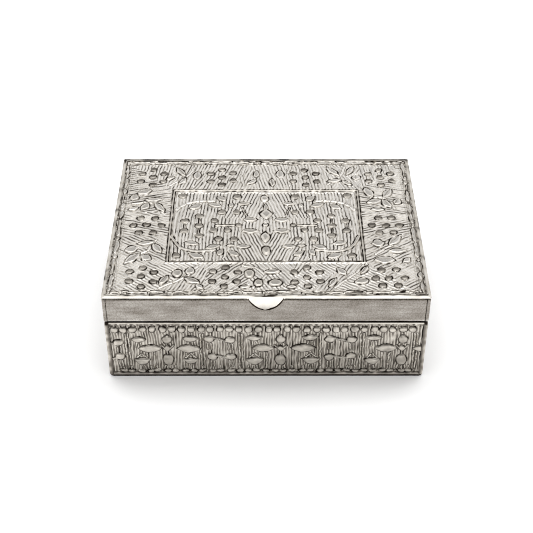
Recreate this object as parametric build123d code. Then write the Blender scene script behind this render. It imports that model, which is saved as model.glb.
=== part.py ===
"""Rosary box in embossed silver plate: a hinged lid with plain bands over an embossed, velvet-lined base.

The origin is the centre of the underside. X runs along the width, Y towards the hinge at the back, Z up.
All lengths are millimetres, all angles degrees.
"""

import math
import os

from build123d import *

# Overall sizes
BOX_WIDTH = 102.0
BOX_DEPTH = 76.5
BASE_HEIGHT = 23.2
JOINT_GAP = 0.6
BAND_HEIGHT = 8.8
PLATE_THICKNESS = 1.2

# Lid shell
BAND_THICKNESS = 1.0
PLATE_OVERHANG = 0.15
PLATE_TOP_ROUND = 0.5
PLATE_UNDER_ROUND = 0.2

# Embossing on the lid plate
LID_RELIEF = 0.42
LID_RIM_WIDTH = 1.3
BRAID_WIDTH = 2.1
BRAID_ROUND = 0.25
LINE_WIDTH = 0.45
LINE_GAP = 0.35
CENTRE_WIDTH = 64.0
CENTRE_DEPTH = 40.3
CENTRE_SHIFT = -0.8
FRAME_LINE_WIDTH = 0.8
BERRY_RADIUS = 1.3
BERRY_PITCH = 5.0
CLUSTER_SPREAD = 13.9
CORNER_BERRY_INSET = 3.4
MEDALLION_LONG = 2.4
MEDALLION_WIDE = 1.5
MEDALLION_PITCH = 9.6
SCROLL_REACH = 15.5
SCROLL_INSET = 2.6
SCROLL_WIDTH = 1.1

# Thumb tab on the lid's front edge
TAB_RADIUS = 6.0
TAB_SHOULDER = 1.2
TAB_REACH = 2.7
TAB_THICKNESS = 0.8
TAB_START_SLOPE = 20.0
TAB_END_SLOPE = 56.0

# Embossed panels of the base
RIM_CLEARANCE = 0.3
PANEL_RELIEF = 0.5
PANEL_TOP_RAIL = 1.3
PANEL_BOTTOM_RAIL = 1.6
PANEL_END_RAIL = 0.7
PANEL_TOP_ROUND = 0.4
PANEL_FOOT_ROUND = 0.8
BEAD_RADIUS = 1.0
BEAD_PITCH = 3.1
BEAD_DROP = 2.9
FRIEZE_PITCH = 36.4
FRIEZE_SHIFT = 5.4
LEAF_HALF_WIDTH = 3.6
LEAF_HALF_HEIGHT = 1.5
LEAF_OFFSET = 6.3
BUD_HALF_WIDTH = 2.3
BUD_HALF_HEIGHT = 1.05
BUD_OFFSET = 8.6
BUD_RISE = 5.4
VASE_HALF_WIDTH = 1.35
VASE_HALF_HEIGHT = 2.2
FRUIT_RADIUS = 1.2
FRUIT_OFFSET = 3.2
FRUIT_RISE = 3.9
BOSS_ROUND = 0.2

# Base shell
FLOOR_THICKNESS = 1.0
WALL_THICKNESS = 0.9
RIM_RISE = 2.4

# Velvet lining
LINING_THICKNESS = 1.4
LINING_DROP = 0.8
LINING_ROUND = 0.4
CARD_THICKNESS = 1.0
CARD_CLEARANCE = 0.3
FLOOR_PAD_THICKNESS = 2.6
LID_PAD_THICKNESS = 2.2
PAD_MARGIN = 0.8
PAD_EDGE_ROUND = 0.8

# Hinge
KNUCKLE_RADIUS = 1.1
PIN_RADIUS = 0.55
PIN_CLEARANCE = 0.05
PIN_HEAD_RADIUS = 0.9
PIN_HEAD_HEIGHT = 0.45
KNUCKLE_COUNT = 7
HINGE_LENGTH = 64.0
KNUCKLE_END_GAP = 0.1
GROOVE_CLEARANCE = 0.15
BEARER_HEIGHT = 3.6
BEARER_LIP = 0.8
BEVEL_LENGTH = 2.6
SEAT_MARGIN = 0.8
OPENING_ANGLE = 100.0
STOP_SLACK = 1.0

# Places worked out from the sizes above
PLATE_UNDERSIDE = BASE_HEIGHT + JOINT_GAP + BAND_HEIGHT
PLATE_TOP = PLATE_UNDERSIDE + PLATE_THICKNESS
BAND_BOTTOM = BASE_HEIGHT + JOINT_GAP
PANEL_THICKNESS = BAND_THICKNESS + RIM_CLEARANCE
WALL_TOP = BASE_HEIGHT + RIM_RISE
INNER_WIDTH = BOX_WIDTH - 2 * PANEL_THICKNESS
INNER_DEPTH = BOX_DEPTH - 2 * PANEL_THICKNESS
HINGE_Y = BOX_DEPTH / 2 + KNUCKLE_RADIUS
HINGE_Z = BASE_HEIGHT + JOINT_GAP / 2
BEVEL_ANGLE = OPENING_ANGLE / 2 + STOP_SLACK
SINK = 0.1

RISING = (Align.CENTER, Align.CENTER, Align.MIN)
OUT = "parts"


def save(node, shape):
    """Writes one node's solids to its own STEP file."""
    export_step(shape, os.path.join(OUT, node + ".step"))


def group(solids):
    """Several separate solids as one node."""
    return Compound(children=list(solids))


def dome(radius, height):
    """A low round boss on Z = 0, rooted a little below it."""
    ball = (radius**2 + height**2) / (2 * height)
    cap = Pos(0, 0, height - ball) * Sphere(ball)
    return cap & Pos(0, 0, -SINK) * Box(4 * radius, 4 * radius, height + 2 * SINK, align=RISING)


def boss(outline, height):
    """A flat-topped boss on Z = 0 with a rounded top edge, rooted a little below it."""
    body = extrude(Pos(0, 0, -SINK) * outline, height + SINK)
    return fillet(body.edges().group_by(Axis.Z)[-1], BOSS_ROUND)


def ring(width, depth, line, height):
    """A rectangular raised line whose outer sides are width and depth apart."""
    flat = Rectangle(width, depth) - Rectangle(width - 2 * line, depth - 2 * line)
    return extrude(Pos(0, 0, -SINK) * flat, height + SINK)


def berry_centres():
    """Centres of the ten berry clusters round the lid's centre panel."""
    side_x = (BOX_WIDTH / 2 + CENTRE_WIDTH / 2) / 2 - LID_RIM_WIDTH
    front_y = -(BOX_DEPTH / 2 + CENTRE_DEPTH / 2) / 2 + LID_RIM_WIDTH
    corners = [(sx * side_x, sy * front_y) for sx in (-1, 1) for sy in (-1, 1)]
    middles = [(sx * side_x, 0) for sx in (-1, 1)]
    between = [(sx * CLUSTER_SPREAD, sy * front_y) for sx in (-1, 1) for sy in (-1, 1)]
    return corners + middles + between


def lid_embossing():
    """The raised work of the lid plate, on Z = 0: braid, lines, berries, medallions and scrolls."""
    braid_outer = (BOX_WIDTH - 2 * LID_RIM_WIDTH, BOX_DEPTH - 2 * LID_RIM_WIDTH)
    braid = ring(*braid_outer, BRAID_WIDTH, LID_RELIEF)
    braid = fillet(braid.edges().group_by(Axis.Z)[-1], BRAID_ROUND)
    inset = 2 * (BRAID_WIDTH + LINE_GAP)
    line = ring(braid_outer[0] - inset, braid_outer[1] - inset, LINE_WIDTH, LID_RELIEF / 2)
    frame = Pos(0, CENTRE_SHIFT) * ring(CENTRE_WIDTH, CENTRE_DEPTH, FRAME_LINE_WIDTH, LID_RELIEF)
    berry = dome(BERRY_RADIUS, LID_RELIEF)
    berries = []
    for x, y in berry_centres():
        berries.append(Pos(x, y) * berry)
        for turn in range(6):
            angle = math.radians(30 + 60 * turn)
            berries.append(Pos(x + BERRY_PITCH * math.cos(angle), y + BERRY_PITCH * math.sin(angle)) * berry)
    corner_x = CENTRE_WIDTH / 2 - CORNER_BERRY_INSET
    corner_y = CENTRE_DEPTH / 2 - CORNER_BERRY_INSET
    for sx in (-1, 1):
        for sy in (-1, 1):
            berries.append(Pos(sx * corner_x, CENTRE_SHIFT + sy * corner_y) * berry)
    medallion = boss(Ellipse(MEDALLION_WIDE, MEDALLION_LONG), LID_RELIEF)
    medallions = [Pos(0, CENTRE_SHIFT + k * MEDALLION_PITCH) * medallion for k in (-1.5, -0.5, 0.5, 1.5)]
    scrolls = []
    for side in (-1, 1):
        outer = Circle(SCROLL_REACH) - Circle(SCROLL_REACH - SCROLL_WIDTH)
        keep = Pos(side * SCROLL_REACH, 0) * Rectangle(SCROLL_REACH, 2 * SCROLL_REACH)
        centre = side * (CENTRE_WIDTH / 2 - SCROLL_INSET - SCROLL_REACH)
        scrolls.append(Pos(centre, CENTRE_SHIFT) * boss(outer & keep, LID_RELIEF))
    return [braid, line, frame, *berries, *medallions, *scrolls]


def make_lid_plate():
    """Embossed top sheet with a rounded edge; its ground is sunk inside a plain rim."""
    width = BOX_WIDTH + 2 * PLATE_OVERHANG
    depth = BOX_DEPTH + 2 * PLATE_OVERHANG
    plate = Pos(0, 0, PLATE_UNDERSIDE) * Box(width, depth, PLATE_THICKNESS, align=RISING)
    plate = fillet(plate.edges().group_by(Axis.Z)[-1], PLATE_TOP_ROUND)
    plate = fillet(plate.edges().group_by(Axis.Z)[0], PLATE_UNDER_ROUND)
    ground = PLATE_TOP - LID_RELIEF
    field = Box(BOX_WIDTH - 2 * LID_RIM_WIDTH, BOX_DEPTH - 2 * LID_RIM_WIDTH, LID_RELIEF, align=RISING)
    plate -= Pos(0, 0, ground) * field
    return plate + [Pos(0, 0, ground) * piece for piece in lid_embossing()]


def tab_outline(reach, strip_width):
    """Plan of the thumb tab: root on Y = 0, tip reach in front of it, filleted into the edge it springs from."""
    front = Pos(0, -TAB_RADIUS) * Rectangle(strip_width, 2 * TAB_RADIUS)
    lip = Pos(0, TAB_RADIUS - reach) * Circle(TAB_RADIUS) & front
    plan = lip + Pos(0, TAB_SHOULDER / 2) * Rectangle(strip_width, TAB_SHOULDER)
    roots = [v for v in plan.vertices() if abs(v.Y) < SINK and abs(v.X) < TAB_RADIUS + SINK]
    return fillet(roots, TAB_SHOULDER) & front


def make_thumb_tab():
    """Drooping half-round lip soldered to the lid plate's front edge."""
    start, end = math.radians(TAB_START_SLOPE), math.radians(TAB_END_SLOPE)
    radius = TAB_REACH / (math.sin(end) - math.sin(start))
    root_y = -BOX_DEPTH / 2 - PLATE_OVERHANG
    root_z = PLATE_TOP - PLATE_THICKNESS / 2
    centre_y = root_y + radius * math.sin(start)
    centre_z = root_z - radius * math.cos(start)
    outer, inner = radius + TAB_THICKNESS / 2, radius - TAB_THICKNESS / 2
    tip_y = centre_y - outer * math.sin(end)
    tip_z = centre_z + inner * math.cos(end)
    blank_width = 2 * (TAB_RADIUS + 2 * TAB_SHOULDER)
    plan = tab_outline(root_y - tip_y, blank_width)
    bar = extrude(Plane.YZ * (Circle(outer) - Circle(inner)), blank_width / 2, both=True)
    cutter = extrude(Pos(0, root_y, tip_z) * plan, PLATE_TOP - tip_z)
    tab = Pos(0, centre_y, centre_z) * bar & cutter
    return max(tab.solids(), key=lambda s: s.volume)


def make_band(length, place):
    """Plain strip of the lid's skirt; place puts its middle."""
    return place * Box(length, BAND_THICKNESS, BAND_HEIGHT, align=RISING)


def frieze_work(middle):
    """(boss, x, height, reach) of one repeat of the frieze: leaves, buds and vase, then fruit beside them."""
    centre = (PANEL_BOTTOM_RAIL + BASE_HEIGHT - PANEL_TOP_RAIL) / 2
    leaf = boss(Ellipse(LEAF_HALF_WIDTH, LEAF_HALF_HEIGHT), PANEL_RELIEF)
    bud = boss(Ellipse(BUD_HALF_WIDTH, BUD_HALF_HEIGHT), PANEL_RELIEF)
    vase = boss(Ellipse(VASE_HALF_WIDTH, VASE_HALF_HEIGHT), PANEL_RELIEF)
    fruit = dome(FRUIT_RADIUS, PANEL_RELIEF)
    work = [(vase, middle, centre - BUD_RISE, VASE_HALF_WIDTH)]
    for side in (-1, 1):
        work.append((leaf, middle + side * LEAF_OFFSET, centre, LEAF_HALF_WIDTH))
        beside = middle + FRIEZE_PITCH / 2 + side * FRUIT_OFFSET
        for up in (-1, 1):
            work.append((bud, middle + side * BUD_OFFSET, centre + up * BUD_RISE, BUD_HALF_WIDTH))
            work.append((fruit, beside, centre + up * FRUIT_RISE, FRUIT_RADIUS))
    return work


def panel_embossing(length):
    """Raised work of a base panel, on Z = 0 with Y up the panel: a row of beads above the frieze."""
    inside = length / 2 - PANEL_END_RAIL
    count = int((2 * inside - 2 * BEAD_RADIUS) / BEAD_PITCH) + 1
    bead = dome(BEAD_RADIUS, PANEL_RELIEF)
    raised = [Pos((k - (count - 1) / 2) * BEAD_PITCH, BASE_HEIGHT - BEAD_DROP) * bead for k in range(count)]
    repeats = math.ceil(inside / FRIEZE_PITCH) + 1
    for k in range(-repeats, repeats + 1):
        for shape, x, height, reach in frieze_work(FRIEZE_SHIFT + k * FRIEZE_PITCH):
            if abs(x) + reach < inside:
                raised.append(Pos(x, height) * shape)
    return raised


def make_panel(length, place, seat=0.0):
    """Embossed sheet of the base; its outer face is +Z before place turns it upright.

    seat is the length of the plain ground left behind the hinge strip.
    """
    blank = Box(length, BASE_HEIGHT, PANEL_THICKNESS, align=(Align.CENTER, Align.MIN, Align.MAX))
    long_edges = blank.edges().filter_by(Axis.X).sort_by(Axis.Z)[-2:]
    blank = fillet(long_edges.sort_by(Axis.Y)[-1], PANEL_TOP_ROUND)
    long_edges = blank.edges().filter_by(Axis.X).sort_by(Axis.Y)[:2]
    blank = fillet(long_edges.sort_by(Axis.Z)[-1], PANEL_FOOT_ROUND)
    field_height = BASE_HEIGHT - PANEL_TOP_RAIL - PANEL_BOTTOM_RAIL
    hollow = (Align.CENTER, Align.MIN, Align.MAX)
    ground = Pos(0, PANEL_BOTTOM_RAIL) * Box(length - 2 * PANEL_END_RAIL, field_height, PANEL_RELIEF, align=hollow)
    panel = blank - ground + [Pos(0, 0, -PANEL_RELIEF) * piece for piece in panel_embossing(length)]
    if seat:
        seat_bottom = HINGE_Z - BEARER_HEIGHT - SEAT_MARGIN
        plain = Box(seat + 2 * SEAT_MARGIN, BASE_HEIGHT - seat_bottom, PANEL_THICKNESS, align=hollow)
        panel += Pos(0, seat_bottom) * plain & blank
    return place * panel


def make_wall(length, place):
    """Plain inner wall that stands on the floor and rises into the lid as its locating rim."""
    return place * Box(length, WALL_THICKNESS, WALL_TOP - FLOOR_THICKNESS, align=RISING)


def make_lining(length, place):
    """Velvet-covered card on an inner wall, with a soft upper edge."""
    height = BASE_HEIGHT - LINING_DROP - FLOOR_THICKNESS
    card = Box(length, LINING_THICKNESS, height, align=RISING)
    return place * fillet(card.edges().group_by(Axis.Z)[-1].filter_by(Axis.X), LINING_ROUND)


def make_pad(width, depth, thickness, up):
    """Thin velvet cushion on Z = 0, with rounded edges on the side that is seen."""
    pad = Box(width, depth, thickness, align=(Align.CENTER, Align.CENTER, Align.MIN if up else Align.MAX))
    seen = pad.edges().group_by(Axis.Z)[-1 if up else 0]
    return fillet(seen, PAD_EDGE_ROUND)


def along_x(centre, radius, length):
    """Round bar along X about a point of the YZ plane."""
    return Pos(0, *centre) * Rot(0, 90, 0) * Cylinder(radius, length)


def knuckle_spans(first):
    """(middle, length) of every second hinge knuckle, starting with number first."""
    length = (HINGE_LENGTH - (KNUCKLE_COUNT - 1) * KNUCKLE_END_GAP) / KNUCKLE_COUNT
    step = length + KNUCKLE_END_GAP
    return [((k - (KNUCKLE_COUNT - 1) / 2) * step, length) for k in range(first, KNUCKLE_COUNT, 2)]


def make_knuckles(first):
    """Hinge tubes on one side of the joint."""
    tubes = []
    for middle, length in knuckle_spans(first):
        tube = along_x((HINGE_Y, HINGE_Z), KNUCKLE_RADIUS, length)
        tube -= along_x((HINGE_Y, HINGE_Z), PIN_RADIUS + PIN_CLEARANCE, length)
        tubes.append(Pos(middle, 0, 0) * tube)
    return group(tubes)


def make_bearer(side, others):
    """Grooved strip behind the joint, below it for side -1 and above it for +1.

    Its bevel meets the other strip's bevel and stops the lid. others are the spans of the tubes that turn in it.
    """
    bevel = math.radians(BEVEL_ANGLE)
    edge_y, edge_z = BEVEL_LENGTH * math.cos(bevel), BEVEL_LENGTH * math.sin(bevel)
    corners = [
        (-KNUCKLE_RADIUS, side * BEARER_LIP),
        (0, 0),
        (edge_y, side * edge_z),
        (edge_y, side * BEARER_HEIGHT),
        (-KNUCKLE_RADIUS, side * BEARER_HEIGHT),
    ]
    section = make_face(Polyline([(HINGE_Y + y, HINGE_Z + z) for y, z in corners], close=True))
    bearer = extrude(Plane.YZ * section, HINGE_LENGTH / 2, both=True)
    bearer -= along_x((HINGE_Y, HINGE_Z), KNUCKLE_RADIUS, 2 * HINGE_LENGTH)
    for middle, length in others:
        slot = along_x((HINGE_Y, HINGE_Z), KNUCKLE_RADIUS + GROOVE_CLEARANCE, length + 2 * KNUCKLE_END_GAP)
        bearer -= Pos(middle, 0, 0) * slot
    return max(bearer.solids(), key=lambda s: s.volume)


def make_hinge_pin():
    """Steel pin through all the tubes, with its ends riveted over."""
    pin = along_x((HINGE_Y, HINGE_Z), PIN_RADIUS, HINGE_LENGTH + 2 * KNUCKLE_END_GAP)
    head_place = HINGE_LENGTH / 2 + KNUCKLE_END_GAP
    for side in (-1, 1):
        head = dome(PIN_HEAD_RADIUS, PIN_HEAD_HEIGHT) & Box(
            2 * PIN_HEAD_RADIUS, 2 * PIN_HEAD_RADIUS, PIN_HEAD_HEIGHT, align=RISING
        )
        pin += Pos(side * head_place, HINGE_Y, HINGE_Z) * Rot(0, side * 90, 0) * head
    return pin


def build():
    """Makes every node of the box."""
    os.makedirs(OUT, exist_ok=True)
    upright = Rot(90, 0, 0)

    # Lid shell
    save("lid_plate", make_lid_plate())
    save("thumb_tab", make_thumb_tab())
    band_y = (BOX_DEPTH - BAND_THICKNESS) / 2
    band_x = (BOX_WIDTH - BAND_THICKNESS) / 2
    between = BOX_WIDTH - 2 * BAND_THICKNESS
    save("lid_band_front", make_band(between, Pos(0, -band_y, BAND_BOTTOM)))
    save("lid_band_back", make_band(between, Pos(0, band_y, BAND_BOTTOM)))
    save("lid_band_left", make_band(BOX_DEPTH, Pos(-band_x, 0, BAND_BOTTOM) * Rot(0, 0, 90)))
    save("lid_band_right", make_band(BOX_DEPTH, Pos(band_x, 0, BAND_BOTTOM) * Rot(0, 0, 90)))

    # Lid lining
    card_width = BOX_WIDTH - 2 * (BAND_THICKNESS + CARD_CLEARANCE)
    card_depth = BOX_DEPTH - 2 * (BAND_THICKNESS + CARD_CLEARANCE)
    card = Box(card_width, card_depth, CARD_THICKNESS, align=(Align.CENTER, Align.CENTER, Align.MAX))
    save("lid_lining_card", Pos(0, 0, PLATE_UNDERSIDE) * card)
    pad = make_pad(card_width - 2 * PAD_MARGIN, card_depth - 2 * PAD_MARGIN, LID_PAD_THICKNESS, up=False)
    save("lid_velvet_pad", Pos(0, 0, PLATE_UNDERSIDE - CARD_THICKNESS) * pad)

    # Base shell
    save("base_floor", Box(INNER_WIDTH, INNER_DEPTH, FLOOR_THICKNESS, align=RISING))
    half_w, half_d = BOX_WIDTH / 2, BOX_DEPTH / 2
    save("base_panel_front", make_panel(INNER_WIDTH, Pos(0, -half_d, 0) * upright))
    back = Pos(0, half_d, 0) * Rot(0, 0, 180) * upright
    save("base_panel_back", make_panel(INNER_WIDTH, back, seat=HINGE_LENGTH))
    save("base_panel_left", make_panel(BOX_DEPTH, Pos(-half_w, 0, 0) * Rot(0, 0, -90) * upright))
    save("base_panel_right", make_panel(BOX_DEPTH, Pos(half_w, 0, 0) * Rot(0, 0, 90) * upright))
    wall_y = (INNER_DEPTH - WALL_THICKNESS) / 2
    wall_x = (INNER_WIDTH - WALL_THICKNESS) / 2
    short = INNER_WIDTH - 2 * WALL_THICKNESS
    save("inner_wall_front", make_wall(short, Pos(0, -wall_y, FLOOR_THICKNESS)))
    save("inner_wall_back", make_wall(short, Pos(0, wall_y, FLOOR_THICKNESS)))
    save("inner_wall_left", make_wall(INNER_DEPTH, Pos(-wall_x, 0, FLOOR_THICKNESS) * Rot(0, 0, 90)))
    save("inner_wall_right", make_wall(INNER_DEPTH, Pos(wall_x, 0, FLOOR_THICKNESS) * Rot(0, 0, 90)))

    # Base lining
    lining_y = INNER_DEPTH / 2 - WALL_THICKNESS - LINING_THICKNESS / 2
    lining_x = INNER_WIDTH / 2 - WALL_THICKNESS - LINING_THICKNESS / 2
    tray_width = short - 2 * LINING_THICKNESS
    tray_depth = INNER_DEPTH - 2 * (WALL_THICKNESS + LINING_THICKNESS)
    save("lining_front", make_lining(tray_width, Pos(0, -lining_y, FLOOR_THICKNESS)))
    save("lining_back", make_lining(tray_width, Pos(0, lining_y, FLOOR_THICKNESS)))
    side_length = tray_depth + 2 * LINING_THICKNESS
    save("lining_left", make_lining(side_length, Pos(-lining_x, 0, FLOOR_THICKNESS) * Rot(0, 0, 90)))
    save("lining_right", make_lining(side_length, Pos(lining_x, 0, FLOOR_THICKNESS) * Rot(0, 0, 90)))
    save("floor_card", Pos(0, 0, FLOOR_THICKNESS) * Box(tray_width, tray_depth, CARD_THICKNESS, align=RISING))
    pad = make_pad(tray_width - 2 * CARD_CLEARANCE, tray_depth - 2 * CARD_CLEARANCE, FLOOR_PAD_THICKNESS, up=True)
    save("floor_velvet_pad", Pos(0, 0, FLOOR_THICKNESS + CARD_THICKNESS) * pad)

    # Hinge
    save("base_hinge_bearer", make_bearer(-1, knuckle_spans(1)))
    save("lid_hinge_bearer", make_bearer(1, knuckle_spans(0)))
    save("base_hinge_knuckles", make_knuckles(0))
    save("lid_hinge_knuckles", make_knuckles(1))
    save("hinge_pin", make_hinge_pin())


build()
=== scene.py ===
"""Rosary box in embossed silver plate, shut on a pale table. The relief is worked out in millimetres, and all that is
given to Blender is in metres."""
import bpy
import math
import numpy as np
from mathutils import Matrix, Vector
from types import SimpleNamespace


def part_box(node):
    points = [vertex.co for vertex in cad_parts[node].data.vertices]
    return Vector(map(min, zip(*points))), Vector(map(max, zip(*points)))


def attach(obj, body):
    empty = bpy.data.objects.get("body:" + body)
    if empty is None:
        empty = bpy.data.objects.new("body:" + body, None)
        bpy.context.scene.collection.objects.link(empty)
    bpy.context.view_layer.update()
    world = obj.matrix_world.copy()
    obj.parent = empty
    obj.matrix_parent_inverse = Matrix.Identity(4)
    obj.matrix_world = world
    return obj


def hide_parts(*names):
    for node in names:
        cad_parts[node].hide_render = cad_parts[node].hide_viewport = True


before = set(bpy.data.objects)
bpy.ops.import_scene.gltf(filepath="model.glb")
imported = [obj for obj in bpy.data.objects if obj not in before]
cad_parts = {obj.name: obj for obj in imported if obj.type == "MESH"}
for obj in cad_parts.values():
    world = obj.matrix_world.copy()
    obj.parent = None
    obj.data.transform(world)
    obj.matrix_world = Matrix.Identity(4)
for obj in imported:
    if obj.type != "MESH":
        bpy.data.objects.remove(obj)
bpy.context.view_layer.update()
bpy.ops.object.select_all(action="DESELECT")

# ---------------------------------------------------------------- Camera
# A long, sharp lens on a stand in front of the box, looking down on it at about 39 degrees. It is 0.4 m away, so the
# sides of the box close in a little towards the back.
view_elevation, view_yaw, view_roll = math.radians(38.946), math.radians(0.154), math.radians(0.076)
view_target = Vector((0.000165, 0.000003, 0.015))
view_distance = 0.39826
sight = Vector((
    math.sin(view_yaw) * math.cos(view_elevation),
    math.cos(view_yaw) * math.cos(view_elevation),
    -math.sin(view_elevation),
))
bpy.ops.object.camera_add(location=view_target - sight * view_distance)
camera = bpy.context.object
camera.rotation_euler = (sight.to_track_quat("-Z", "Y").to_matrix() @ Matrix.Rotation(view_roll, 3, "Z")).to_euler()
camera.data.sensor_width = 36
camera.data.lens = 78.13
camera.data.clip_start = 0.01
bpy.context.scene.camera = camera
bpy.context.scene.cycles.filter_width = 1.0  # pixels: crisper than Blender's 1.5

# ---------------------------------------------------------------- Base panels
# Four panels of pressed silver plate soldered to the tray: beads along the top, leaves on stalks, urns and paired fruit
# on a ribbed ground, with small feet along the bottom. The end panels run past the long ones and show at the corners.
panel_relief, panel_face, panel_top, panel_ledge = 0.5, 1.3, 23.2, 22.3
bearer_half, bearer_low = 32.8, 19.1


def new_relief(u, v):
    """Pressed work over the points u, v, which stray a little as a hand does: near is the distance inside the nearest
    motif, work and tone its height and tarnish, ribs and score the height and tarnish of the hatching between."""
    strayed = [c + 0.09 * drift(u, v, 2.4, k) + 0.10 * drift(u, v, 6.0, k + 2) for k, c in ((70, u), (71, v))]
    work, ribs, score, tone = (np.zeros_like(u) for _ in range(4))
    return SimpleNamespace(
        u=strayed[0], v=strayed[1], near=np.full_like(u, -99.0), work=work, ribs=ribs, score=score, tone=tone,
    )


def press(relief, inside, shoulder, top, tone=0.0):
    """Raises what lies inside an outline: inside is the distance within it, shoulder the width of its round edge, and
    tone the tarnish left on its top."""
    rise = np.sin(np.clip(inside / shoulder, 0, 1) * math.pi / 2)
    crown = np.clip(inside / 1.4, 0, 1)
    relief.work = np.maximum(relief.work, top * (0.9 * rise + 0.1 * crown))
    relief.tone = np.where(inside > 0.05, tone, relief.tone)
    relief.near = np.maximum(relief.near, inside)


def turned(relief, x, y, angle):
    """Coordinates along and across a motif centred at x, y and turned by angle degrees."""
    c, s = math.cos(math.radians(angle)), math.sin(math.radians(angle))
    du, dv = relief.u - x, relief.v - y
    return c * du + s * dv, c * dv - s * du


def press_oval(relief, x, y, long, wide, angle=0.0, top=0.42, shoulder=0.2, tone=0.0):
    """A berry or fruit, painted lighter below its middle as a highlight."""
    a, b = turned(relief, x, y, angle)
    painted_highlight_below = np.clip(0.9 + 0.5 * (relief.v - y) / wide, 0.4, 1)
    press(relief, (1 - np.hypot(a / long, b / wide)) * min(long, wide), shoulder, top, tone * painted_highlight_below)


def press_leaf(relief, x, y, long, wide, angle=0.0, top=0.42, shoulder=0.2, upper=1.0, vein=0.0):
    """A pointed leaf, or a bowl where upper, the share of its width above the line between its tips, is less than 1.
    Its vein is that dark."""
    a, b = turned(relief, x, y, angle)
    past = np.abs(a) - long
    inside = 0.85 * (wide * np.where(b > 0, upper, 1.0) * (1 - (a / long) ** 2) - np.abs(b))
    line = vein * np.exp(-(((b - 0.12 * wide) / 0.13) ** 2)) * (past < -0.25 * long)
    press(relief, np.where(past < 0, inside, -np.hypot(past, b)), shoulder, top, line)


def press_lozenge(relief, x, y, long, wide, angle=0.0, top=0.42, shoulder=0.2):
    """A lozenge with slightly round sides."""
    a, b = turned(relief, x, y, angle)
    span = (np.abs(a / long) ** 1.2 + np.abs(b / wide) ** 1.2) ** (1 / 1.2)
    press(relief, (1 - span) * min(long, wide) * 0.8, shoulder, top)


def press_stem(relief, points, width, top=0.30, shoulder=0.25, outlined=True):
    """A stem or scroll along a chain of points. One that isn't outlined has only a faint dark line on either side."""
    for (x0, y0), (x1, y1) in zip(points, points[1:]):
        run = max((x1 - x0) ** 2 + (y1 - y0) ** 2, 1e-9)
        t = np.clip(((relief.u - x0) * (x1 - x0) + (relief.v - y0) * (y1 - y0)) / run, 0, 1)
        inside = width / 2 - np.hypot(relief.u - x0 - t * (x1 - x0), relief.v - y0 - t * (y1 - y0))
        if outlined:
            press(relief, inside, shoulder, top)
        else:
            relief.work = np.maximum(relief.work, top * np.sin(np.clip(inside / shoulder, 0, 1) * math.pi / 2))
            faint = 0.55 * np.exp(-(((inside + 0.12) / 0.14) ** 2))
            relief.score = np.where(inside > 0, 0, np.maximum(relief.score, faint))


def press_stalk(relief, x0, y0, x1, y1, width, top, shoulder=0.2):
    """A thin straight stalk that isn't outlined."""
    press_stem(relief, [(x0, y0), (x1, y1)], width, top, shoulder, False)


def drift(u, v, size, seed):
    """Smooth irregular values between about -1 and 1, with features of about size millimetres."""
    pick = np.random.default_rng(seed)
    total = np.zeros_like(u)
    for _ in range(7):
        angle, phase, scale = pick.uniform(0, 2 * math.pi), pick.uniform(0, 2 * math.pi), pick.uniform(0.7, 1.6)
        total += np.sin((u * math.cos(angle) + v * math.sin(angle)) * 2 * math.pi / (size * scale) + phase)
    return total / 3.2


def hatch(relief, phase, where, top, seed, groove=0.3, valley=0.08):
    """Hatching cut by hand: phase counts the ribs, and groove is a groove's share of one. Each rib rises to one side
    and drops into a scored groove, and no two grooves are as dark. Between the crests the tarnish is valley dark."""
    u, v = relief.u, relief.v
    phase = phase + 0.10 * drift(u, v, 4.0, seed) + 0.03 * drift(u, v, 1.9, seed + 1)
    rib = np.floor(phase)
    share = phase - rib
    crest = np.where(share < 1 - groove, share / (1 - groove), (1 - share) / groove)
    depths = np.random.default_rng(seed).uniform(0.3, 1.15, 499)
    depths = depths[rib.astype(int) % len(depths)]
    cut = np.clip((groove * 0.62 - np.abs((share + groove * 0.45 + 0.5) % 1.0 - 0.5)) / (groove * 0.3), 0, 1)
    cut = 0.8 * cut * np.clip(depths + 0.4 * drift(u, v, 6.0, seed + 2) + 0.25 * drift(u, v, 2.0, seed + 3), 0.4, 1.2)
    cut = np.maximum(cut, valley * (1 - np.exp(-(((share - 0.85 + groove) / 0.18) ** 2))))
    relief.ribs = np.where(where, top * crest, relief.ribs)
    relief.score = np.where(where, cut, relief.score)


def finish_relief(
    relief, moat=0.30, sink=0.14, ground=0.05, tops=0.12, outline=0.8, lean=0.58, bold=0.23, collar=0.07, broken=0.5
):
    """Heights of the sheet, and the tarnish on it with some painted shade: 0 where it is rubbed bright, 1 in outlines
    and grooves, ground and tops between and on the motifs. Round each motif runs a moat, sink deep, and then a collar
    that high, where the punch pushed the metal up. The outlines are outline dark and bold wide, lean more so above each
    motif than below it as painted shade, and broken uneven."""
    near, u, v = relief.near, relief.u, relief.v
    away = np.clip(-near / moat, 0, 1)
    height = np.maximum(relief.work, relief.ribs * np.clip((away - 0.2) / 0.6, 0, 1)) - sink * (1 - away) * (near < 0)
    height += collar * np.exp(-(((near + 0.58) / 0.17) ** 2))
    fall = np.clip(np.gradient(near, axis=0) / np.gradient(v, axis=0), -1, 1)
    heavy = outline - lean * fall + broken * drift(u, v, 2.6, 41)
    dark = np.exp(-(((near + 0.09) / (bold * (1 - 0.25 * fall))) ** 2)) * np.clip(heavy, 0.1, 1.5)
    plain = np.where(near > 0.05, tops + relief.tone, ground + relief.score * (away > 0.4))
    return height, np.clip(np.maximum(dark, plain), 0, 1)


def joined(*runs):
    """Point rows of several runs (start, stop, step) end to end."""
    rows = [np.linspace(a, b, max(2, int(round((b - a) / step)) + 1)) for a, b, step in runs]
    return np.concatenate([rows[0]] + [r[1:] for r in rows[1:]])


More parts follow.
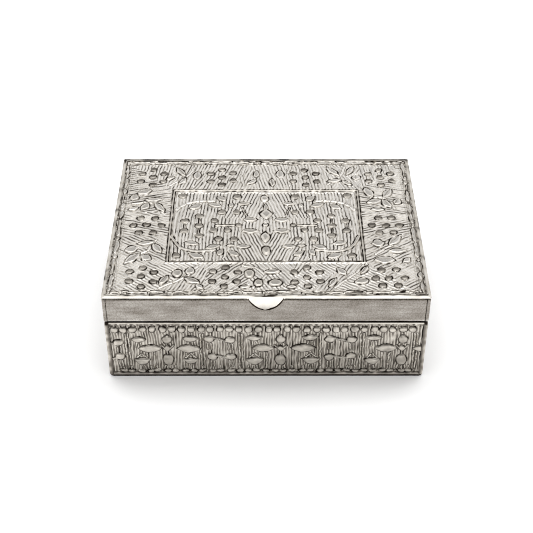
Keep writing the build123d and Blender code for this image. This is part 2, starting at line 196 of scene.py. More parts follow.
def read_points(piece, what="co"):
    """The places of a piece's points in metres, or their normals, one row each."""
    rows = np.zeros(len(piece.data.vertices) * 3, np.float32)
    piece.data.vertices.foreach_get(what, rows)
    return rows.reshape(-1, 3)


def place_points(piece, points):
    """Moves a piece's points to these places in metres."""
    piece.data.vertices.foreach_set("co", points.astype(np.float32).ravel())


def set_tarnish_and_shade(piece, values):
    """Writes how tarnished a piece's points are, with the shade painted on them, from 0 to 1, where the shaders of the
    silver read it.
    """
    layer = piece.data.attributes.get("hollow") or piece.data.attributes.new("hollow", "FLOAT", "POINT")
    layer.data.foreach_set("value", values.astype(np.float32).ravel())


def read_tarnish_and_shade(piece):
    """The tarnish and painted shade of a piece's points."""
    values = np.zeros(len(piece.data.vertices), np.float32)
    piece.data.attributes["hollow"].data.foreach_get("value", values)
    return values


def relief_sheet(name, u, v, height, tarnish, back, hole=None, stand=None, behind=None):
    """A closed sheet in millimetres: its pressed face over the points u by v, and a flat back as tarnished as behind.
    It has an opening where hole is given, and is stood on edge by the matrix stand."""
    bpy.ops.object.select_all(action="DESELECT")
    bpy.ops.mesh.primitive_grid_add(x_subdivisions=len(u) - 1, y_subdivisions=len(v) - 1, size=1)
    sheet = bpy.context.object
    sheet.name = sheet.data.name = name
    across, along = np.meshgrid(u, v)
    place_points(sheet, np.stack([across, along, height], axis=-1).reshape(-1, 3) * 0.001)
    set_tarnish_and_shade(sheet, tarnish)
    (x0, y0), (x1, y1) = hole or ((1, 1), (0, 0))
    inner = [x0 < p.center.x * 1000 < x1 and y0 < p.center.y * 1000 < y1 for p in sheet.data.polygons]
    bpy.ops.object.mode_set(mode="EDIT")
    bpy.ops.mesh.select_mode(type="FACE")
    bpy.ops.object.mode_set(mode="OBJECT")
    sheet.data.polygons.foreach_set("select", inner)
    bpy.ops.object.mode_set(mode="EDIT")
    if hole:
        bpy.ops.mesh.delete(type="FACE")
    bpy.ops.mesh.select_mode(type="EDGE")
    bpy.ops.mesh.select_all(action="SELECT")
    bpy.ops.mesh.region_to_loop()
    bpy.ops.mesh.extrude_edges_move(TRANSFORM_OT_translate={"value": (0, 0, -0.0005)})
    if hole:
        bpy.ops.mesh.bridge_edge_loops()
    else:
        bpy.ops.mesh.edge_face_add()
    bpy.ops.object.mode_set(mode="OBJECT")
    rear, points = np.zeros(len(sheet.data.vertices), bool), read_points(sheet)
    sheet.data.vertices.foreach_get("select", rear)
    points[rear, 2] = back * 0.001
    place_points(sheet, points)
    if behind is not None:
        set_tarnish_and_shade(sheet, np.where(rear, behind, read_tarnish_and_shade(sheet)))
    if stand is not None:
        sheet.data.transform(stand)
    bpy.ops.object.mode_set(mode="EDIT")
    bpy.ops.mesh.select_all(action="SELECT")
    bpy.ops.mesh.normals_make_consistent(inside=False)
    bpy.ops.object.mode_set(mode="OBJECT")
    bpy.ops.object.shade_smooth_by_angle(angle=math.radians(75))
    return sheet


def stood(along, outward, at):
    """Matrix that stands a sheet up: its length along one way, its height up, its face outward from the plane at."""
    a, o = Vector(along), Vector(outward)
    turn = Matrix((a, Vector((0, 0, 1)), o)).transposed().to_4x4()
    return Matrix.Translation(o * at * 0.001) @ turn


def rounded_rim(height, edge_distance, radius):
    """Rounds a sheet's edge: height falls by a quarter circle over radius."""
    d = np.clip(edge_distance / radius, 0, 1)
    return height - radius * (1 - np.sqrt(1 - (1 - d) ** 2))


def frieze(u, v, shift):
    """The ornament of a base panel, shift along it. v is the height above the table."""
    relief = new_relief(u, v)
    top, thin, slim = panel_relief, panel_relief * 0.8, panel_relief * 0.85
    along = float(np.abs(u).max())
    pick = np.random.default_rng(11 + int(abs(shift) * 10))
    uneven = top * (0.42 + 0.14 * drift(u, v * 0.5, 3.0, 14))
    lean = 0.06 * drift(u, v * 0.4, 10.0, 15) * (v - 11.0)
    hatch(relief, (u + lean) / 0.92, (v > 1.5) & (v < 21.8), uneven, 12, 0.42, 0.6)
    relief.score *= 0.43 + 0.2 * drift(u, v * 0.5, 2.6, 16)
    # Pairs of bare stalks.
    for x in (-20.6, -8.2, 16.8, 30.6, -44.4, 47.6):
        for beside in (-0.5, 0.45):
            press_stalk(relief, x + shift + beside, 18.2, x + shift + 0.3 + beside, 3.2, 0.45, thin)
    # Beads along the top, and feet with short stalks along the bottom.
    beads = np.arange(-16, 17) * 3.05 + 0.6 + shift * 0.3
    for x in beads[np.abs(beads) < along - 1.2]:
        lift, x = pick.uniform(-0.15, 0.15), x + pick.uniform(-0.25, 0.25)
        press_oval(relief, x, 20.0 + lift, 1.18 + pick.uniform(-0.12, 0.12), 1.12, 0, top, 0.25)
    feet = np.arange(-18, 19) * 2.9 + shift * 0.2
    for x in feet[np.abs(feet) < along - 1.5]:
        x = x + pick.uniform(-0.4, 0.4)
        press_oval(relief, x, 2.15 + pick.uniform(-0.15, 0.15), 1.2, 0.6, pick.uniform(-6, 6), top * 0.9, 0.22)
        press_stalk(relief, x, 2.3, x + pick.uniform(-0.3, 0.3), 4.2, 0.45, thin)
    # Broad leaves halfway up, each on two stalks: (x, height, half length, half width).
    for x, z, long, wide in (
        (-37.2, 11.9, 3.7, 1.7), (-24.7, 11.9, 3.9, 1.8), (-1.0, 12.1, 3.7, 1.6), (11.8, 12.2, 4.0, 1.75),
        (38.3, 12.1, 3.6, 1.7), (49.3, 11.9, 2.4, 1.3),
    ):
        x += shift
        press_stalk(relief, x - 1.0, z - 2.0, x - 1.1, 3.6, 0.5, slim, 0.25)
        press_stalk(relief, x + 1.3, z - 2.0, x + 1.1, 3.6, 0.5, slim, 0.25)
        press_leaf(relief, x, z, long, wide, 0, top, 0.25, 0.85)
    # Bowls: the upper row plump, the lower row open, with a handle at either side.
    for x, z, long, wide, angle in (
        (-40.8, 15.9, 2.3, 1.3, 2), (-24.2, 16.2, 2.5, 1.4, 0), (-3.8, 16.6, 2.6, 1.35, 0), (14.0, 16.8, 2.6, 1.35, 2),
        (34.3, 16.6, 2.6, 1.35, 0), (-40.0, 7.0, 2.6, 2.1, 0), (-24.3, 7.1, 2.5, 2.0, 0), (-3.7, 7.2, 2.8, 2.3, 0),
        (14.4, 7.3, 2.9, 2.1, 0), (34.2, 7.1, 2.6, 2.1, 0),
    ):
        x, foot, lower = x + shift, z - wide - 0.3, z < 10
        for side in (-1, 1):
            press_stalk(relief, x + side * 0.6, foot, x + side * 0.8, foot - 1.6, 0.45, thin, 0.25)
        press_leaf(relief, x, z, long, wide, angle, top, 0.25, 0.25 if lower else 0.65)
        if lower:
            for side in (-0.9, 0.9):
                press_stalk(relief, x + side * 1.9, z + 0.7, x, z + 2.6, 0.42, thin)
    # Urns: a knob and a round body, a lozenge at the waist, and an oval body with a ring cut above it.
    for x in (-31.6, 4.6, 43.6):
        x += shift
        press_oval(relief, x, 15.7, 1.5, 1.5, 90, top, 0.25, 0.04)
        press_oval(relief, x, 17.3, 0.5, 0.4, 0, top * 0.9)
        for side in (-1, 1):
            press_stalk(relief, x + side * 0.9, 14.4, x + side * 1.0, 13.2, 0.5, top * 0.9)
            press_stem(relief, [(x + side * 2.0, 13.2), (x + side * 0.8, 11.9)], 0.55, top * 0.9)
            press_stalk(relief, x + side * 0.9, 5.4, x + side * 1.3, 3.4, 0.5, slim)
        press_lozenge(relief, x, 11.9, 1.3, 1.2, 90, top, 0.25)
        press_stem(relief, [(x, 10.9), (x, 9.6)], 0.6, top * 0.9)
        press_oval(relief, x, 7.0, 2.3, 1.7, 90, top, 0.25, 0.04)
        ring = np.abs(relief.v - 9.0) + np.abs(relief.u - x) * 0.1 < 0.22
        relief.work = np.where(ring, 0.7, 1.0) * relief.work
    # Fruit in pairs on two stalks each, with a bent stem between them.
    for x0, z0, x1, z1 in (
        (-18.2, 15.9, -11.5, 15.6), (-17.3, 8.2, -11.3, 8.2), (20.4, 15.9, 27.3, 15.7), (20.3, 8.1, 27.3, 8.7),
        (-54.0, 15.0, -47.2, 14.4), (-54.0, 8.0, -47.0, 8.4),
    ):
        x0, x1 = x0 + shift, x1 + shift
        for x, z in ((x0, z0), (x1, z1)):
            for side in (-0.5, 0.6):
                press_stalk(relief, x + side, z - 1.7, x + side, z - 4.2, 0.42, thin)
            press_oval(relief, x, z, 1.6, 1.25, 0, top, 0.25)
        press_stem(relief, [(x0 + 0.8, z0 + 0.7), (x0 + 3.4, z0 - 0.1), (x1 - 1.0, z1 - 0.8)], 0.6, top)
    # A plain ledge along the top edge and a plain strip along the foot.
    ledge = np.clip((v - panel_ledge - 0.1 * drift(u, v * 0, 4.0, 61)) / 0.3, 0, 1)
    ledge = np.sin(ledge * math.pi / 2)
    relief.work, relief.score = np.maximum(relief.work, top * ledge), relief.score * (1 - ledge)
    press(relief, 1.15 + 0.08 * drift(u, v * 0, 4.0, 62) - v, 0.2, top, 0.05)
    relief.tone = relief.tone + 0.03 * drift(u, v, 2.8, 20)
    height, tarnish = finish_relief(
        relief, moat=0.34, sink=0.12, ground=0.27, tops=0.36, outline=0.84, lean=-0.04, bold=0.22, collar=0.0,
        broken=0.24,
    )
    # Under the ledge the ground is speckled with tarnish and painted darker as shade, and the nooks between the beads
    # are painted darkest, tarnish with painted shade.
    under = (v > 21.3) & (v < panel_ledge)
    speckled = np.clip(0.46 + 0.2 * drift(u, v, 1.3, 17), 0, 1) * (relief.near < -0.1) * under
    nooks = np.zeros_like(u)
    for x in beads:
        for side in (-0.75, 0.75):
            nooks = np.maximum(nooks, np.exp(-(((u - x - side) / 0.36) ** 2) - ((v - 21.35) / 0.3) ** 2))
    return height, np.clip(np.maximum(np.maximum(tarnish, speckled), 1.1 * nooks), 0, 1)


panels = []
for name, half, at, along, outward, shift in (
    ("base_panel_front", 49.7, 36.95, (1, 0, 0), (0, -1, 0), 0.0),
    ("base_panel_back", 49.7, 36.95, (-1, 0, 0), (0, 1, 0), 5.4),
    ("base_panel_left", 38.25, 49.7, (0, -1, 0), (-1, 0, 0), -2.2),
    ("base_panel_right", 38.25, 49.7, (0, 1, 0), (1, 0, 0), 3.0),
):
    at_end = name in ("base_panel_left", "base_panel_right")
    u = joined((-half, -half + 0.8, 0.1), (-half + 0.8, half - 0.8, 0.155), (half - 0.8, half, 0.1))
    v = joined((0.0, 1.0, 0.1), (1.0, 22.6, 0.22), (22.6, panel_top, 0.1))
    across, up = np.meshgrid(u, v)
    height, tarnish = frieze(across, up, shift)
    to_side = half - np.abs(across)
    margin = np.clip((to_side - 0.7) / 0.5, 0, 1) if at_end else 1.0
    worn = drift(across * 0.2, up, 2.4, 18)
    height = panel_face - panel_relief + height * margin + (0.96 + 0.03 * worn) * panel_relief * (1 - margin)
    if name == "base_panel_back":
        seat = (np.abs(across) < bearer_half) & (up > bearer_low)
        height, tarnish = np.where(seat, panel_face, height), np.where(seat, 0.1, tarnish)
    if at_end:
        # The end panels' side edges are plain, show at the corners of the box, and are filed off at the top corners,
        # which are painted dark as shade.
        height = rounded_rim(rounded_rim(height, to_side, 0.35), up, 1.2)
        corner = np.clip(1.2 - (to_side + panel_top - up) / 1.1, 0, 1)
        height = height - 0.7 * corner
        plain = 0.4 + 0.08 * worn + 0.05 * drift(across * 2, up, 3.0, 19)
        tarnish = np.maximum(tarnish * margin, plain * (1 - margin) + corner)
    else:
        tarnish = np.maximum(tarnish, (0.6 + 0.3 * worn) * np.exp(-((to_side / 0.25) ** 2)))
    height = np.maximum(rounded_rim(height, panel_top - up, 0.2), 0.02)
    # The foot is painted dark as the contact shadow, and the top edge as shade in the joint under the lid.
    painted_foot_shadow, painted_joint_shade = np.clip((0.8 - up) / 0.25, 0, 1), np.clip((up - 23.14) / 0.06, 0, 1)
    tarnish = np.maximum(tarnish, np.maximum(painted_foot_shadow, painted_joint_shade))
    panel = relief_sheet(
        name + "_relief", u, v, height, tarnish, 0.0, stand=stood(along, outward, at), behind=0.7 if at_end else None,
    )
    panels.append((panel, name))


def linear(hex_colour):
    """An sRGB hex colour as linear RGBA."""
    parts = [int(hex_colour[i:i + 2], 16) / 255 for i in (1, 3, 5)]
    return tuple(p / 12.92 if p <= 0.04045 else ((p + 0.055) / 1.055) ** 2.4 for p in parts) + (1.0,)


def add_node(material, kind, links=(), **settings):
    """Adds a shader node, with links of (node, its output, input). A setting named like a property is set on it, and
    any other on the input of that name, or of that number where it is i and a digit."""
    node = material.node_tree.nodes.new("ShaderNode" + kind)
    for key, value in settings.items():
        if hasattr(node, key):
            setattr(node, key, value)
        else:
            socket = int(key[1:]) if key[0] == "i" and key[1:].isdigit() else key.replace("_", " ")
            node.inputs[socket].default_value = value
    for source, output, target in links:
        material.node_tree.links.new(source.outputs[output], node.inputs[target])
    return node


def new_material(name):
    """An empty node material."""
    material = bpy.data.materials.new(name)
    material.use_nodes = True
    material.node_tree.nodes.clear()
    return material


def ramp(node, *stops):
    """Sets a colour ramp's stops: (place, hex colour)."""
    bar = node.color_ramp
    while len(bar.elements) > 2:
        bar.elements.remove(bar.elements[-1])
    for k, (place, colour) in enumerate(stops):
        stop = bar.elements[k] if k < 2 else bar.elements.new(place)
        stop.position = place
        stop.color = linear(colour)


# Pressed silver plate, rubbed bright on the crests, with brown-black sulphide left in the outlines and grooves. The
# mottling is about 2.4 mm across and the patches of wear 18 mm. The grain is 0.6 mm, coarser than real, so it shows.
embossed_silver = new_material("pressed_silver_plate")
coords = add_node(embossed_silver, "TexCoord")
# Tarnish, with painted shade in places, from the sheets' points.
hollow = add_node(embossed_silver, "Attribute", attribute_name="hollow")
mottle = add_node(embossed_silver, "TexNoise", [(coords, "Object", "Vector")], Scale=420.0, Detail=4.0)
patches = add_node(embossed_silver, "TexNoise", [(coords, "Object", "Vector")], Scale=55.0, Detail=3.0)
worn = add_node(embossed_silver, "Math", [(mottle, "Fac", 0)], operation="MULTIPLY_ADD", i1=0.35, i2=-0.17)
shade = add_node(embossed_silver, "Math", [(hollow, "Fac", 0), (worn, 0, 1)], operation="ADD")
patch = add_node(embossed_silver, "Math", [(patches, "Fac", 0)], operation="MULTIPLY_ADD", i1=0.3, i2=-0.12)
shade = add_node(embossed_silver, "Math", [(shade, 0, 0), (patch, 0, 1)], operation="ADD")
colour = add_node(embossed_silver, "ValToRGB", [(shade, 0, "Fac")])
ramp(colour, (0.05, "#F6F2EC"), (0.9, "#241E19"), (0.32, "#D2CCC2"), (0.58, "#837D75"))
rough = add_node(embossed_silver, "MapRange", [(shade, 0, 0)], i1=0.2, i2=0.9, i3=0.22, i4=0.6)
grain = add_node(embossed_silver, "TexNoise", [(coords, "Object", "Vector")], Scale=1800.0, Detail=3.0)
bump = add_node(embossed_silver, "Bump", [(grain, "Fac", "Height")], Strength=0.25, Distance=0.00008)
skin = add_node(
    embossed_silver, "BsdfPrincipled",
    [(colour, "Color", "Base Color"), (rough, 0, "Roughness"), (bump, 0, "Normal")], Metallic=1.0,
)
add_node(embossed_silver, "OutputMaterial", [(skin, 0, "Surface")])
for panel, name in panels:
    panel.data.materials.append(embossed_silver)
    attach(panel, "base")
    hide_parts(name)

# ---------------------------------------------------------------- Lid bands
# Four plain strips of silver sheet, 8.8 mm high, soldered round under the lid plate. The end strips cover the ends of
# the long ones, so each corner shows a fine seam. They were rubbed along their length, which leaves faint level marks.
band_low, band_high, band_thick = 23.8, 32.6, 0.985
bands = []
for name, half, at, along, outward in (
    ("lid_band_front", 50.0, 37.25, (1, 0, 0), (0, -1, 0)),
    ("lid_band_back", 50.0, 37.25, (-1, 0, 0), (0, 1, 0)),
    ("lid_band_left", 38.25, 50.0, (0, -1, 0), (-1, 0, 0)),
    ("lid_band_right", 38.25, 50.0, (0, 1, 0), (1, 0, 0)),
):
    u = joined((-half, -half + 0.5, 0.06), (-half + 0.5, half - 0.5, 0.6), (half - 0.5, half, 0.06))
    v = joined(
        (band_low, band_low + 0.4, 0.08), (band_low + 0.4, band_high - 0.4, 0.4), (band_high - 0.4, band_high, 0.08),
    )
    across, up = np.meshgrid(u, v)
    edge, to_side = np.minimum(up - band_low, band_high - up), half - np.abs(across)
    height = band_thick + 0.018 * drift(across, up * 2.2, 13.0, 30 + len(bands))
    height = rounded_rim(rounded_rim(height, edge, 0.16), to_side, 0.3 if half < 40 else 0.14)
    # The top edge is painted darker as shade under the rim; faint tarnish varies along the strip.
    tarnish = 0.28 * np.exp(-(((band_high - up) / 0.3) ** 2)) + 0.08 * drift(across, up * 1.6, 9.0, 36)
    tarnish = tarnish - 0.4 * np.exp(-(((up - band_low) / 0.3) ** 2))
    if half > 40:
        tarnish = tarnish + 0.9 * np.exp(-((to_side / 0.24) ** 2))
    # Along the lower edge the tarnish is less than none: a painted highlight.
    tarnish = np.clip(tarnish, -0.4, 1)
    band = relief_sheet(name + "_strip", u, v, height, tarnish, 0.0, stand=stood(along, outward, at), behind=0.1)
    bands.append((band, name))

# Plain silver sheet, hand-rubbed to a worn satin, with cloudy brown tarnish, darker along seams. The clouds are about
# 29 by 6 mm, the scratches 9 mm long and 0.7 mm apart and the flecks 0.4 mm, both coarser than real, so that they show.
plain_silver = new_material("worn_silver_sheet")
coords = add_node(plain_silver, "TexCoord")
# Tarnish, with painted shade and a painted highlight in places, from the sheets' points.
hollow = add_node(plain_silver, "Attribute", attribute_name="hollow")
drawn = add_node(plain_silver, "Mapping", [(coords, "Object", "Vector")], Scale=(110.0, 110.0, 1500.0))
scratch = add_node(plain_silver, "TexNoise", [(drawn, 0, "Vector")], Scale=1.0, Detail=5.0, Roughness=0.65)
rubbed = add_node(plain_silver, "Mapping", [(coords, "Object", "Vector")], Scale=(34.0, 34.0, 170.0))
clouds = add_node(plain_silver, "TexNoise", [(rubbed, 0, "Vector")], Scale=1.0, Detail=7.0, Roughness=0.65)
cloud = add_node(plain_silver, "MapRange", [(clouds, "Fac", 0)], i1=0.32, i2=0.75, i3=0.04, i4=0.34)
lines = add_node(plain_silver, "MapRange", [(scratch, "Fac", 0)], i1=0.3, i2=0.75, i3=0.0, i4=0.26)
flecks = add_node(plain_silver, "TexNoise", [(coords, "Object", "Vector")], Scale=2400.0, Detail=2.0)
fleck = add_node(plain_silver, "MapRange", [(flecks, "Fac", 0)], i1=0.35, i2=0.7, i3=0.0, i4=0.3)
shade = add_node(plain_silver, "Math", [(cloud, 0, 0), (lines, 0, 1)], operation="ADD")
shade = add_node(plain_silver, "Math", [(shade, 0, 0), (fleck, 0, 1)], operation="ADD")
shade = add_node(plain_silver, "Math", [(shade, 0, 0), (hollow, "Fac", 1)], operation="ADD")
colour = add_node(plain_silver, "ValToRGB", [(shade, 0, "Fac")])
ramp(colour, (0.0, "#D0CCC6"), (1.0, "#241F1A"), (0.22, "#ABA69F"), (0.42, "#97918A"), (0.7, "#7B746B"))
rough = add_node(plain_silver, "MapRange", [(shade, 0, 0)], i1=0.0, i2=1.0, i3=0.3, i4=0.52)
bump = add_node(plain_silver, "Bump", [(scratch, "Fac", "Height")], Strength=0.35, Distance=0.00006)
skin = add_node(
    plain_silver, "BsdfPrincipled",
    [(colour, "Color", "Base Color"), (rough, 0, "Roughness"), (bump, 0, "Normal")], Metallic=1.0,
)
add_node(plain_silver, "OutputMaterial", [(skin, 0, "Surface")])
for band, name in bands:
    band.data.materials.append(plain_silver)
    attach(band, "lid")
    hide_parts(name)

# ---------------------------------------------------------------- Inner walls and floor
# Plain silver walls stand 2.4 mm above the panels inside the joint and locate the lid. They are soldered to the tray's
# flat floor, with their top edges eased by file so that they don't scratch.
def eased(node, name, radius, segments=3):
    """A copy of a CAD node with its loose triangles merged and its sharp edges rounded."""
    bpy.ops.object.select_all(action="DESELECT")
    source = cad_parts[node]
    source.select_set(True)
    bpy.context.view_layer.objects.active = source
    bpy.ops.object.duplicate()
    copy = bpy.context.object
    copy.name = copy.data.name = name
    copy.parent = None
    for key in list(copy.keys()):
        del copy[key]
    bpy.ops.object.mode_set(mode="EDIT")
    bpy.ops.mesh.select_all(action="SELECT")
    bpy.ops.mesh.remove_doubles(threshold=0.000002)
    bpy.ops.mesh.dissolve_limited(angle_limit=math.radians(1))
    bpy.ops.mesh.normals_make_consistent(inside=False)
    bpy.ops.object.mode_set(mode="OBJECT")
    ease = copy.modifiers.new("ease", "BEVEL")
    ease.width, ease.segments, ease.limit_method, ease.angle_limit = radius, segments, "ANGLE", math.radians(40)
    bpy.ops.object.modifier_apply(modifier="ease")
    bpy.ops.object.shade_smooth_by_angle(angle=math.radians(50))
    copy.data.materials.clear()
    return copy


joint_top = 0.0245
for node in ("inner_wall_front", "inner_wall_back", "inner_wall_left", "inner_wall_right", "base_floor"):
    piece = eased(node, node + "_sheet", 0.0002)
    points = read_points(piece)
    joint = np.zeros(len(points), bool)
    if node != "base_floor":
        # The outsides of the walls are painted dark down in the joint, as shade in the gap.
        low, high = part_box(node)
        middle = (low + high) / 2
        outward = middle.normalized()
        outside = (points - np.array(middle)) @ np.array((outward.x, outward.y, 0.0)) > 0
        joint = outside & (points[:, 2] < joint_top)
    set_tarnish_and_shade(piece, np.where(joint, 0.9, 0.15))
    piece.data.materials.append(plain_silver)
    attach(piece, "base")
    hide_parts(node)

# ---------------------------------------------------------------- Velvet lining
# Boards covered in burgundy velvet line the walls, and a thin wadded pad of it lies on a card in the bottom. The fabric
# is turned round the boards' top edges and glued behind.
# Short-pile silk velvet, dyed burgundy: dark looked straight into, with a pale bloom where the pile lies over. The nap
# changes every 36 mm or so. The pile is 0.4 mm, coarser than real, so that it shows.
velvet = new_material("burgundy_velvet")
coords = add_node(velvet, "TexCoord")
nap = add_node(velvet, "TexNoise", [(coords, "Object", "Vector")], Scale=28.0, Detail=2.0)
pile = add_node(velvet, "TexNoise", [(coords, "Object", "Vector")], Scale=2600.0, Detail=2.0)
mixed = add_node(velvet, "Math", [(nap, "Fac", 0), (pile, "Fac", 1)], operation="MULTIPLY")
colour = add_node(velvet, "ValToRGB", [(mixed, 0, "Fac")])
ramp(colour, (0.05, "#520D18"), (0.45, "#6A1423"))
bump = add_node(velvet, "Bump", [(pile, "Fac", "Height")], Strength=0.6, Distance=0.0002)
skin = add_node(
    velvet, "BsdfPrincipled", [(colour, "Color", "Base Color"), (bump, 0, "Normal")],
    Roughness=0.95, Sheen_Weight=0.6, Sheen_Roughness=0.35, Sheen_Tint=linear("#D98A94"),
)
add_node(velvet, "OutputMaterial", [(skin, 0, "Surface")])
for node in ("lining_front", "lining_back", "lining_left", "lining_right"):
    piece = eased(node, node + "_velvet", 0.0005, 4)
    piece.data.materials.append(velvet)
    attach(piece, "base")
    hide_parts(node)


def wadded_pad(name, node, rise):
    """A thin pad in the space of a CAD node: a rounded slab, blown up a little as cloth by its wadding, ten times its
    size while it is simulated, then capped so that no point moves more than rise (metres)."""
    larger, shrink, frames = 10, 0.0006, 20
    low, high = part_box(node)
    size, middle = high - low, (low + high) / 2
    bpy.ops.object.select_all(action="DESELECT")
    bpy.ops.mesh.primitive_cube_add(size=1)
    pad = bpy.context.object
    pad.name = pad.data.name = name
    slab = Vector((size.x - 2 * shrink, size.y - 2 * shrink, size.z - 2 * rise))
    pad.data.transform(Matrix.Diagonal((slab.x * larger, slab.y * larger, slab.z * larger, 1)))
    edge = pad.modifiers.new("edge", "BEVEL")
    edge.width, edge.segments = slab.z * larger * 0.45, 4
    bpy.ops.object.modifier_apply(modifier="edge")
    pad.data.remesh_voxel_size = 0.008
    bpy.ops.object.voxel_remesh()
    before = read_points(pad)
    after = before.copy()
    cloth = pad.modifiers.new("wadding", "CLOTH")
    cloth.settings.use_pressure = True
    cloth.settings.uniform_pressure_force = 4.0
    cloth.settings.effector_weights.gravity = 0
    cloth.point_cache.frame_end = frames
    for step in range(1, frames + 1):
        bpy.context.scene.frame_set(step)
    puffed = pad.evaluated_get(bpy.context.evaluated_depsgraph_get()).to_mesh()
    puffed.vertices.foreach_get("co", after.reshape(-1))
    pad.modifiers.remove(cloth)
    bpy.context.scene.frame_set(1)
    move = after - before
    far = np.linalg.norm(move, axis=1)
    cap = rise * larger
    move *= (cap * np.tanh(far / cap) / np.maximum(far, 1e-9))[:, None]
    # The middle of the top and bottom rises a little more, and falls away to the edges.
    across, along = before[:, 0] / (slab.x * larger / 2), before[:, 1] / (slab.y * larger / 2)
    crown = (1 - across ** 4) * (1 - along ** 4)
    move[:, 2] += np.sign(before[:, 2]) * 0.25 * cap * crown * (np.abs(before[:, 2]) > slab.z * 3)
    points = (before + move) * 0.1 + np.array(middle)
    place_points(pad, np.clip(points, np.array(low), np.array(high)))
    soft = pad.modifiers.new("soft", "SUBSURF")
    soft.levels = soft.render_levels = 1
    bpy.ops.object.modifier_apply(modifier="soft")
    bpy.ops.object.shade_smooth()
    return pad


floor_pad = wadded_pad("floor_pad", "floor_velvet_pad", 0.00035)
floor_pad.data.materials.append(velvet)
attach(floor_pad, "base")
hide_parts("floor_velvet_pad")


def recoat(node, material):
    """Gives the material of the real piece to a CAD node that stays as it is."""
    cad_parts[node].data.materials.clear()
    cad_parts[node].data.materials.append(material)


# Pulp board faced with dark red paper, under the pads: matt, with short fibres and flecks about 1 mm long.
board = new_material("red_papered_board")
coords = add_node(board, "TexCoord")
fibre = add_node(board, "TexNoise", [(coords, "Object", "Vector")], Scale=900.0, Detail=5.0, Roughness=0.7)
colour = add_node(board, "ValToRGB", [(fibre, "Fac", "Fac")])
ramp(colour, (0.3, "#3A0E14"), (0.7, "#57202A"))
bump = add_node(board, "Bump", [(fibre, "Fac", "Height")], Strength=0.4, Distance=0.0001)
skin = add_node(
    board, "BsdfPrincipled", [(colour, "Color", "Base Color"), (bump, 0, "Normal")], Roughness=0.92
)
add_node(board, "OutputMaterial", [(skin, 0, "Surface")])
recoat("floor_card", board)
recoat("lid_lining_card", board)

# ---------------------------------------------------------------- Lid plate
# One pressed sheet of silver plate: a braid and a fine line round the edge, clusters of berries and leaf sprays on
# hatched ground, and a framed centre panel. The motifs stand up from the die, and dark tarnish stays in the hollows.
plate_low, plate_high = 32.6, 33.8
plate_relief = 0.42
plate_ground = plate_high - plate_relief
braid_out, braid_in, line_in, groove_in = 1.35, 3.1, 3.95, 1.75
centre_left, centre_right, centre_front, centre_back = -32.2, 32.0, -21.0, 19.4
half_w, half_d = 51.15, 38.4


def seven(cx, cy, upright, radius=4.6):
    """Middles of a cluster of seven berries."""
    turns = [math.radians((90 if upright else 60) + 60 * k) for k in range(6)]
    return [(cx, cy)] + [(cx + radius * math.cos(a), cy + radius * math.sin(a)) for a in turns]


